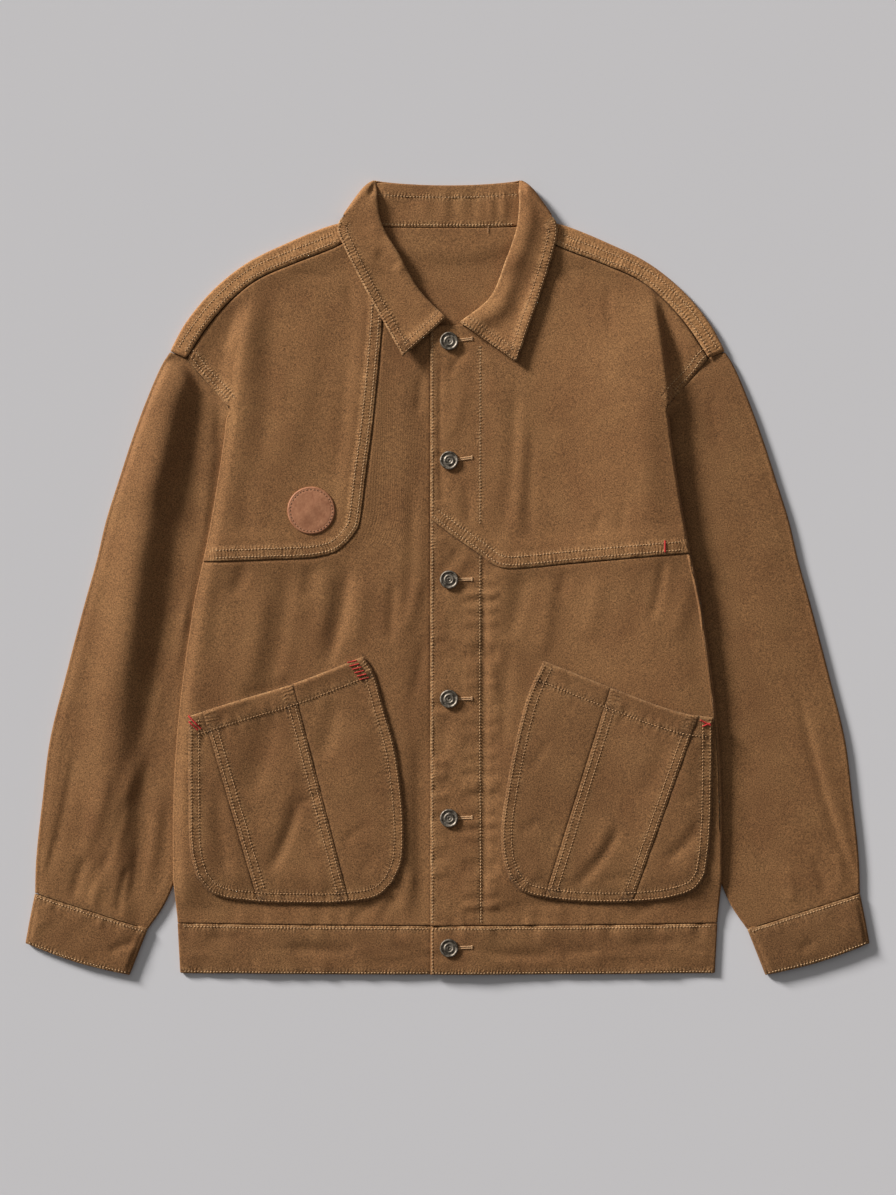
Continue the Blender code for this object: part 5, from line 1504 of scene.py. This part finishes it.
def makeStitches():
    # every row in its group: a row's seed follows from its place there
    groups = {}
    edgeRow = garment["centreOver"] + 1.7

    def add(group, line, top):   # one row on a surface
        pairs = groups.setdefault(group, [])
        pairs.append(stitchRow(line, top, 1000 + 17 * len(pairs) + len(group)))

    for offset in (3.6, 11.0):
        add("stitchesYoke", cutLine(moved(seamCurves["yoke"], offset), 1, -8), yokeTop)
    add("stitchesYoke", upright(edgeRow, 234, 56), yokeTop)
    add("stitchesYoke", lineOf((30.8, 218), (30.6, 50)), yokeTop)
    for offset in (-3.1, -10.1):
        add("stitchesChest", cutLine(moved(seamCurves["chestEdge"], offset), 3, -8), chestTop)
    for side, name, top in ((1, "stitchesYoke", yokeTop), (-1, "stitchesChest", chestTop)):
        for offset in (3.8, 9.8):
            hole = cutLine(moved(seamCurves["armhole"], -offset), 8, 0)
            hole = hole[hole[:, 1] > (175 if side > 0 else 168)]
            add(name, hole * (side, 1), top)
        for offset in (3.8, 11.4):
            strip = cutLine(moved(seamCurves["shoulder"], offset), 14, -4)
            add("stitchesShoulders", strip * (side, 1), stripTop)
    add("stitchesPlacket", upright(edgeRow, 53, -325), overTop)
    add("stitchesPlacket", lineOf((30.6, 44), (30.4, -150), (31.4, -325)), overTop)
    for first, last, over in ((-248, -18, False), (-15, 248, True)):
        for share in (2.7 / 47, 1 - 1.9 / 47):
            add("stitchesHem", bandLine(np.linspace(first, last, 120), share), bandTopFor(over))
    add("stitchesHem", upright(edgeRow, -330, -371), bandTopFor(True))
    for side, label in ((-1, "Right"), (1, "Left")):
        top, lines = pocketTopFor(side), pocketCurves[side]
        name = f"stitchesPocket{label}"
        outline = np.concatenate([lines["outer"], lines["bottom"][1:], lines["inner"][::-1][1:]])
        for offset in (3.0, 10.0):
            add(name, cutLine(moved(outline, -side * offset), 3, -3), top)
        add(name, cutLine(moved(lines["top"], side * pocket["hem"]), 3, -3), top)
        for number in (0, 1):
            toward = -side * (1 if number == 0 else -1)
            for offset in (3.2, 9.2):
                seam = moved(lines[f"seam{number}"], toward * offset)
                add("stitchesPocketSeams", cutLine(seam, pocket["hem"] + 1, -12), top)
        top = cuffTopFor(side)
        head, foot = lineOf(*cuffHead), drawn(cuffEnd, 20)
        inward = (head[1] - head[0]) / np.linalg.norm(head[1] - head[0])
        square = np.array([-inward[1], inward[0]])
        square *= -1 if square[1] > 0 else 1
        for line in (head + 2.7 * square, foot - 2.2 * square):
            add("stitchesCuffs", cutLine(line, 3, -3) * (side, 1), top)
        roll, outer = leafCurves(side)
        top = leafTopFor(side)
        front = readAt(np.array([roll[-1], outer[-1]]), (0, 1), np.linspace(0, 1, 30))
        for offset in (1.7, 8.6):
            add("stitchesLeaves", cutLine(moved(outer, -offset), 6, -offset) * (side, 1), top)
            add("stitchesLeaves", cutLine(moved(front, offset), 3, -offset) * (side, 1), top)
    for row in (standRow(), neckRow()):
        add("stitchesCollar", row, level(collar["standUnder"] + cloth["wall"] + 0.45))
    for name, pairs in groups.items():
        muted = "Pocket" in name or "Leaves" in name
        joined(name, pairs, mutedThreadFinish if muted else threadFinish)


def makeBartacks():   # the red bars, and the thread of the buttonholes
    def bar(x0, y0, x1, y1, wide, top, pitch=0.75):   # close stitches across a short line
        run = math.hypot(x1 - x0, y1 - y0)
        count = max(2, int(run / pitch))
        at = (np.arange(count) + 0.5) / count
        x, y = x0 + at * (x1 - x0), y0 + at * (y1 - y0)
        sx, sy = -(y1 - y0) / run * wide / 2, (x1 - x0) / run * wide / 2
        ends = []
        for k in (-1, 1):
            px, py = x + k * sx, y + k * sy
            ends.append(np.stack([px, py, top(px, py) + 0.45], 1))
        return ends

    left, right = pocketTopFor(1), pocketTopFor(-1)
    bars = [bar(203.5, 34.5, 203.5, 23.5, 2.0, yokeTop),
            bar(-243, -129.5, -231, -142.0, 1.8, right), bar(-242.5, -135, -234, -143, 1.7, right),
            bar(236.5, -133.5, 246.5, -138.5, 1.8, left), bar(238.5, -139.5, 246, -136.5, 1.5, left)]
    for k in range(6):   # a ladder along the inner end of the right pocket's hem
        x, y = -89.8 + 2.3 * k, -78.8 - 3.2 * k
        bars.append(bar(x - 4.4, y - 1.1, x + 4.4, y + 1.1, 1.0, right))
    joined("bartacksRed", bars, bartackFinish, radius=0.46, dip=0.2)

    bars = []   # both sides of each buttonhole and the bar at its end
    for y, top, rise in zip(button["heights"], buttonTops, button["rises"]):
        for k in (-1, 1):
            bars.append(bar(4, y + 0.9 * k, 22.3, y + rise + 0.8 * k, 1.6, top, 0.85))
        bars.append(bar(23.0, y + rise - 1.8, 23.0, y + rise + 2.0, 2.0, top, 0.8))
    bars.append(bar(38, 324, 38.4, 332, 0.8, level(collar["standUnder"] + 1.6), 1.2))   # inside the neck
    joined("buttonholeThread", bars, holeThreadFinish, radius=0.42, dip=0.25)


# Buttons and badge

button = {
    "x": 1.5, "heights": (222, 110, -2, -114, -226, -348), "sides": 36,
    "rises": (2.2, 2.6, 0.3, 0.2, 0.6, 0.7),   # how far each buttonhole's end is above its button's middle
    # radius and height over the underside of the rim
    "profile": ((0, -3.2), (2.2, -3.2), (2.2, 0), (6.8, 0), (8.2, 0.45), (8.7, 1.05), (8.62, 1.7),
                (8.2, 2.2), (7.7, 2.4), (7.1, 2.25), (6.7, 1.75), (6.2, 1.5), (5.2, 1.5), (4.7, 1.75),
                (4.3, 2.15),
                (3.8, 2.3), (3.3, 2.15), (3.0, 1.8), (2.5, 1.7), (1.9, 1.95), (1.3, 2.0), (0.9, 1.75),
                (0.75, 1.2), (0, 1.1)),
}
buttonTops = (yokeTop, yokeTop, overTop, overTop, overTop, bandTopFor(True))
badge = {"centre": (-128, 63), "radius": 22.3, "thickness": 1.6, "ring": 19.7}


def closedRings(name, rings, ends, finish, node):
    # one piece over rings of points from below upwards, closed by a point at both ends
    rows, sides = rings.shape[:2]
    count = rows * sides
    index = np.arange(count).reshape(rows, sides)
    near = np.roll(index, -1, axis=1)
    quads = np.stack([index[:-1], near[:-1], near[1:], index[1:]], 2).reshape(-1, 4)
    caps = np.concatenate([np.stack([near[0], index[0], np.full(sides, count)], 1),
                           np.stack([index[-1], near[-1], np.full(sides, count + 1)], 1)])
    made = meshFrom(name, np.concatenate([rings.reshape(-1, 3), ends]), [quads, caps], finish)
    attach(made, "root")
    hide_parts(node)


def makeButtons():   # the profile turned round, its rim where the CAD's is
    profile = np.array(button["profile"], float)
    sides = button["sides"]
    angle = 2 * math.pi * np.arange(sides) / sides
    radius, up = profile[1:-1, :1], profile[1:-1, 1:]
    for number, y in enumerate(button["heights"], 1):
        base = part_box(f"button_{number}")[1][2] * 1000 - 2.5
        rings = np.stack([button["x"] + radius * np.cos(angle), y + radius * np.sin(angle),
                          np.repeat(base + up, sides, axis=1)], 2)
        ends = [(button["x"], y, base + profile[k, 1]) for k in (0, -1)]
        closedRings(f"metalButton{number}", rings, ends, metalFinish, f"button_{number}")


def badgeTop(x, y):   # the leather follows the chest panel: its height + thickness, its rim rounded off
    cx, cy = badge["centre"]
    r = np.hypot(x - cx, y - cy)
    seat = chestTop(cx + (x - cx) * 0.9, cy + (y - cy) * 0.9)
    edge = np.clip((badge["radius"] - r) / 1.3, 0, 1)
    dimple = -0.28 * np.exp(-((r - badge["ring"]) / 0.8) ** 2) + 0.25 * softNoise(x, y, 13, 141)
    rim = badge["thickness"] * (0.35 + 0.65 * np.sqrt(1 - (1 - edge) ** 2))
    return seat + rim + 0.5 * (1 - (r / badge["radius"]) ** 2) + dimple


def makeBadge():   # rings under and over the leather, and a row of stitches round it
    cx, cy = badge["centre"]
    radii = np.concatenate([np.linspace(0.6, 20.6, 22), [21.2, 21.7, 22.05, 22.25, badge["radius"]]])
    angle = 2 * math.pi * np.arange(96) / 96
    x, y = cx + radii[:, None] * np.cos(angle), cy + radii[:, None] * np.sin(angle)
    rings = np.concatenate([np.stack([x, y, chestTop(x, y) - 0.3], 2),
                            np.stack([x, y, badgeTop(x, y)], 2)[::-1]])
    closedRings("leatherBadge", rings, rings[[0, -1]].mean(axis=1), leatherFinish, "badge")
    turn = np.linspace(0, 2 * math.pi, 120)
    ring = np.stack([cx + badge["ring"] * np.cos(turn), cy + badge["ring"] * np.sin(turn)], 1)
    joined("stitchesBadge", [stitchRow(ring, badgeTop, 77, 0.02, 3.3)], darkThreadFinish)


# Finishes

class Link:
    # one output socket; arithmetic on it adds Math nodes
    def __init__(self, tree, socket):
        self.tree, self.socket = tree, socket

    def math(self, operation, *values):
        return mathNode(self.tree, operation, (self,) + values)

    def held(self):   # between 0 and 1
        return self.math("MAXIMUM", 0.0).math("MINIMUM", 1.0)

    def bell(self):   # e^(-x^2)
        return (self * self * -1.0).math("EXPONENT")

    def __add__(self, other):
        return self.math("ADD", other)

    def __sub__(self, other):
        return self.math("SUBTRACT", other)

    def __mul__(self, other):
        return self.math("MULTIPLY", other)

    def __truediv__(self, other):
        return self.math("DIVIDE", other)

    def __rsub__(self, other):
        return mathNode(self.tree, "SUBTRACT", (other, self))

    def __rtruediv__(self, other):
        return mathNode(self.tree, "DIVIDE", (other, self))

    __radd__ = __add__
    __rmul__ = __mul__


def put(tree, socket, value):   # a link or a constant into a socket
    if isinstance(value, Link):
        tree.links.new(value.socket, socket)
    else:
        socket.default_value = value


def mathNode(tree, operation, values):
    made = tree.nodes.new("ShaderNodeMath")
    made.operation = operation
    for socket, value in zip(made.inputs, values):
        put(tree, socket, value)
    return Link(tree, made.outputs[0])


class Finish:
    # one material and its nodes
    def __init__(self, name):
        self.material = bpy.data.materials.new(name)
        self.material.use_nodes = True
        self.tree = self.material.node_tree
        self.tree.nodes.clear()

    def node(self, kind, settings=None, inputs=None, output=0):
        made = self.tree.nodes.new(kind)
        for key, value in (settings or {}).items():
            setattr(made, key, value)
        for key, value in (inputs or {}).items():
            put(self.tree, made.inputs[key], value)
        return Link(self.tree, made.outputs[output])

    def place(self):   # where a point is on its own object
        return self.node("ShaderNodeTexCoord", output="Object")

    def noise(self, where, size, detail, rough):   # size in millimetres, centred on 0
        inputs = {"Vector": where, "Scale": 1 / (size * metre), "Detail": detail, "Roughness": rough}
        return self.node("ShaderNodeTexNoise", inputs=inputs) - 0.5

    def mark(self, name):   # one of the shell's marks
        return self.node("ShaderNodeAttribute", {"attribute_name": name}, output="Fac")

    def mix(self, factor, first, second):
        return self.node("ShaderNodeMix", {"data_type": "RGBA"}, {0: factor, 6: first, 7: second}, output=2)

    def tinted(self, colour, value):   # a colour times a number
        grey = self.node("ShaderNodeCombineXYZ", inputs={0: value, 1: value, 2: value})
        return self.node("ShaderNodeVectorMath", {"operation": "MULTIPLY"}, {0: colour, 1: grey})

    def range(self, value, low, high, start, stop):   # the smooth step from start to stop
        inputs = {"Value": value, "From Min": low, "From Max": high, "To Min": start, "To Max": stop}
        return self.node("ShaderNodeMapRange", {"interpolation_type": "SMOOTHSTEP"}, inputs)

    def finish(self, colour, roughness, height, constants):   # height is in millimetres
        bump = self.node("ShaderNodeBump", inputs={"Height": height, "Distance": metre, "Strength": 1.0})
        inputs = {"Base Color": colour, "Roughness": roughness, "Normal": bump, **constants}
        shader = self.node("ShaderNodeBsdfPrincipled", inputs=inputs)
        out = self.tree.nodes.new("ShaderNodeOutputMaterial")
        self.tree.links.new(shader.socket, out.inputs["Surface"])
        return self.material


# line is from one diagonal to the next, ladder from one dark rung along a seam to the next
twill = {
    "dark": (0.185, 0.079, 0.029, 1), "light": (0.305, 0.152, 0.058, 1), "worn": (0.45, 0.258, 0.115, 1),
    "line": 0.95, "ladder": 3.3, "roughness": 0.9,
}


def makeClothFinish():
    # blotches from dark to light, worn at edges and rows, times grain, twill line, rungs,
    # painted shade in the stitch grooves and painted shade beside the edges of layers lying on it
    f = Finish("washedTwill")
    where = f.place()
    blotch = f.noise(where, 46, 3, 0.55) * 1.1 + f.noise(where, 14, 3, 0.6) * 0.25
    grain = f.noise(where, 1.25, 2, 0.85)
    speck = f.noise(where, 4.2, 2, 0.6)
    cut = f.node("ShaderNodeUVMap", {"uv_map": "cut"})
    u, v = (f.node("ShaderNodeSeparateXYZ", inputs={0: cut}, output=k) for k in (0, 1))
    # u + v grows by the diagonal of the square from one line of the twill to the next
    diagonal = ((u + v) * (2 * math.pi * 1000 / (twill["line"] * 1.4142)) + grain * 3.0).math("SINE")
    edge, row, place = f.mark("edgeDistance"), f.mark("rowDistance"), f.mark("seamPlace")
    jitter = f.noise(where, 11, 2, 0.5)
    ladder = (place * (2 * math.pi / twill["ladder"]) + jitter * 16.0).math("SINE")
    ladder = ladder * f.range(jitter, -0.2, 0.2, 0.2, 0.85) + f.noise(where, 2.6, 2, 0.6) * 1.6
    ladderNear = f.range(row, 0.5, 5.5, 1.0, 0.0)
    groove, lip = (row / 0.75).bell(), (edge / 1.5).bell()
    hollow = (f.mark("underDistance") / 1.5).bell()
    wearing = f.range(f.noise(where, 6.5, 3, 0.7) + speck * 0.4, -0.12, 0.2, 0.1, 1.0)
    shade = f.mix((blotch + 0.5).held(), twill["dark"], twill["light"])
    worn = lip * 0.6 * wearing + f.range(row, 0.6, 6.5, 0.26, 0.0) * wearing + ladder * ladderNear * 0.17
    shade = f.mix(worn.held(), shade, twill["worn"])
    # groove and hollow are painted shade: darker in the stitch rows' grooves and beside the edge of a layer
    # that lies on this cloth; the tone is partly painted light and shade
    value = (1.0 + grain * 3.0 + speck * 0.1 + diagonal * 0.06 - groove * 0.18 - hollow * 0.26
             + ladder * ladderNear * 0.2) * f.mark("toneAndShade")
    height = (diagonal * 0.03 + grain * 0.28 + speck * 0.12 + f.noise(where, 7.5, 3, 0.6) * 0.08
              + ladder * ladderNear * 0.21 - groove * 0.22 + f.range(edge, 0.0, 3.2, 0.0, 0.25))
    roughness = twill["roughness"] + grain * 0.08
    return f.finish(f.tinted(shade, value), roughness, height,
                    {"Specular IOR Level": 0.2, "Sheen Weight": 0.06, "Sheen Roughness": 0.45,
                     "Sheen Tint": (1.0, 0.82, 0.66, 1)})


def makeThreadFinish(name, colour, roughness):
    f = Finish(name)
    where = f.place()
    value = 1.0 + f.noise(where, 9, 2, 0.6) * 0.55 + f.noise(where, 1.1, 2, 0.6) * 0.35
    return f.finish(f.tinted(colour, value), roughness + f.noise(where, 3, 1, 0.5) * 0.1,
                    f.noise(where, 0.5, 2, 0.6) * 0.12, {"Specular IOR Level": 0.3, "Sheen Weight": 0.1})


def makeMetalFinish():
    f = Finish("agedMetal")
    where = f.place()
    patina = f.noise(where, 3.2, 4, 0.65)
    colour = f.mix(f.range(patina, -0.15, 0.2, 0.0, 1.0), (0.085, 0.068, 0.05, 1), (0.36, 0.305, 0.24, 1))
    roughness = 0.55 + patina * 0.3
    return f.finish(colour, roughness, f.noise(where, 0.9, 3, 0.6) * 0.06, {"Metallic": 0.9})


def makeLeatherFinish():
    f = Finish("wornLeather")
    where = f.place()
    mottle = f.noise(where, 8, 4, 0.65) * 1.5 + f.noise(where, 2.4, 3, 0.6) * 0.8
    colour = f.mix((mottle + 0.5).held(), (0.27, 0.097, 0.041, 1), (0.485, 0.213, 0.103, 1))
    pores = f.node("ShaderNodeTexVoronoi", inputs={"Vector": where, "Scale": 1 / (0.9 * metre)})
    height = mottle * 0.16 + pores * 0.07 + f.noise(where, 0.6, 2, 0.6) * 0.05
    return f.finish(colour, 0.62 + mottle * 0.12, height, {"Specular IOR Level": 0.4})


def makeFloorFinish():
    f = Finish("paleTable")
    where = f.place()
    value = 1.0 + f.noise(where, 240, 2, 0.5) * 0.02
    return f.finish(f.tinted(stage["floor"], value), 0.85, f.noise(where, 2.0, 2, 0.5) * 0.01,
                    {"Specular IOR Level": 0.1})


stage = {
    "floor": (0.622, 0.606, 0.612),
    "world": 0.165, "worldColour": (1.0, 1.0, 1.0, 1),
    # azimuth and elevation it comes from, strength, width in degrees
    "suns": ((141, 17.5, 6.45, 12), (118, 50, 0.26, 60)),
    "height": 2.6, "centre": (0.47, -18.8), "frameHeight": 1123.3,
}


def makeStage():   # the table, two suns, an even sky and a camera over the middle
    bpy.ops.mesh.primitive_plane_add(size=8.0, location=(0, 0, 0))
    floor = bpy.context.object
    floor.name = "tableTop"
    corners = [(x, y, -0.0004) for y in (-4, 4) for x in (-4, 4)]   # a little under the jacket
    floor.data.vertices.foreach_set("co", np.array(corners).ravel())
    floor.data.materials.append(makeFloorFinish())
    for number, (azimuth, elevation, strength, width) in enumerate(stage["suns"]):
        lamp = bpy.data.lights.new(f"window{number}", "SUN")
        lamp.energy, lamp.angle = strength, math.radians(width)
        made = bpy.data.objects.new(f"window{number}", lamp)
        bpy.context.scene.collection.objects.link(made)
        made.rotation_euler = (math.radians(90 - elevation), 0, math.radians(azimuth + 90))
    world = bpy.data.worlds.new("room")
    bpy.context.scene.world = world
    world.use_nodes = True
    background = world.node_tree.nodes["Background"]
    background.inputs["Color"].default_value = stage["worldColour"]
    background.inputs["Strength"].default_value = stage["world"]
    lens = bpy.data.cameras.new("camera")
    eye = bpy.data.objects.new("camera", lens)
    bpy.context.scene.collection.objects.link(eye)
    eye.location = (stage["centre"][0] * metre, stage["centre"][1] * metre, stage["height"] + 0.004)
    lens.sensor_width = 36
    lens.lens = 36 * stage["height"] / (stage["frameHeight"] * metre)
    lens.clip_end = 20
    bpy.context.scene.camera = eye
    bpy.context.scene.view_settings.view_transform = "Standard"


# Everything in its place

clothFinish = makeClothFinish()
threadFinish = makeThreadFinish("tanThread", (0.50, 0.305, 0.148), 0.7)
holeThreadFinish = makeThreadFinish("holeThread", (0.62, 0.37, 0.185), 0.8)
mutedThreadFinish = makeThreadFinish("brownThread", (0.41, 0.228, 0.10), 0.75)
darkThreadFinish = makeThreadFinish("leatherThread", (0.30, 0.15, 0.08), 0.7)
bartackFinish = makeThreadFinish("redThread", (0.62, 0.035, 0.03), 0.65)
metalFinish = makeMetalFinish()
leatherFinish = makeLeatherFinish()
print("finishes made")

lying = {   # what each piece rests on; a pocket's panels rest on their front
    "back": ("tableTop",), "front_right": ("back",), "front_left": ("front_right",),
    "chest_panel_right": ("front_right",), "yoke_left": ("front_left",), "hem_band": ("tableTop",),
    "sleeve_right": ("tableTop",), "sleeve_left": ("tableTop",), "cuff_right": ("tableTop",),
    "cuff_left": ("tableTop",), "collar_fall": ("tableTop",), "collar_stand": ("collar_fall",),
}
pieces = [
    (makeBack(), "back"), (makeFrontRight(), "front_right"), (makeChest(), "chest_panel_right"),
    (makeYoke(), "yoke_left"), (makeFrontLeft(), "front_left"),
    (makeSleeve("clothSleeveRight", -1), "sleeve_right"), (makeSleeve("clothSleeveLeft", 1), "sleeve_left"),
    (makeCuff("clothCuffRight", -1), "cuff_right"), (makeCuff("clothCuffLeft", 1), "cuff_left"),
    (makeHemBand(), "hem_band"), (makeCollarFall(), "collar_fall"), (makeCollarStand(), "collar_stand"),
]
pieces += makePocket(-1) + makePocket(1)
for made, node in pieces:
    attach(made, "root")
    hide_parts(node)
    under = lying.get(node, ("front_right" if "right" in node else "front_left",))
print("cloth laid:", len(pieces), "pieces")
makeStitches()
makeBartacks()
print("sewn")
makeButtons()
makeBadge()
makeStage()
print("stage set")
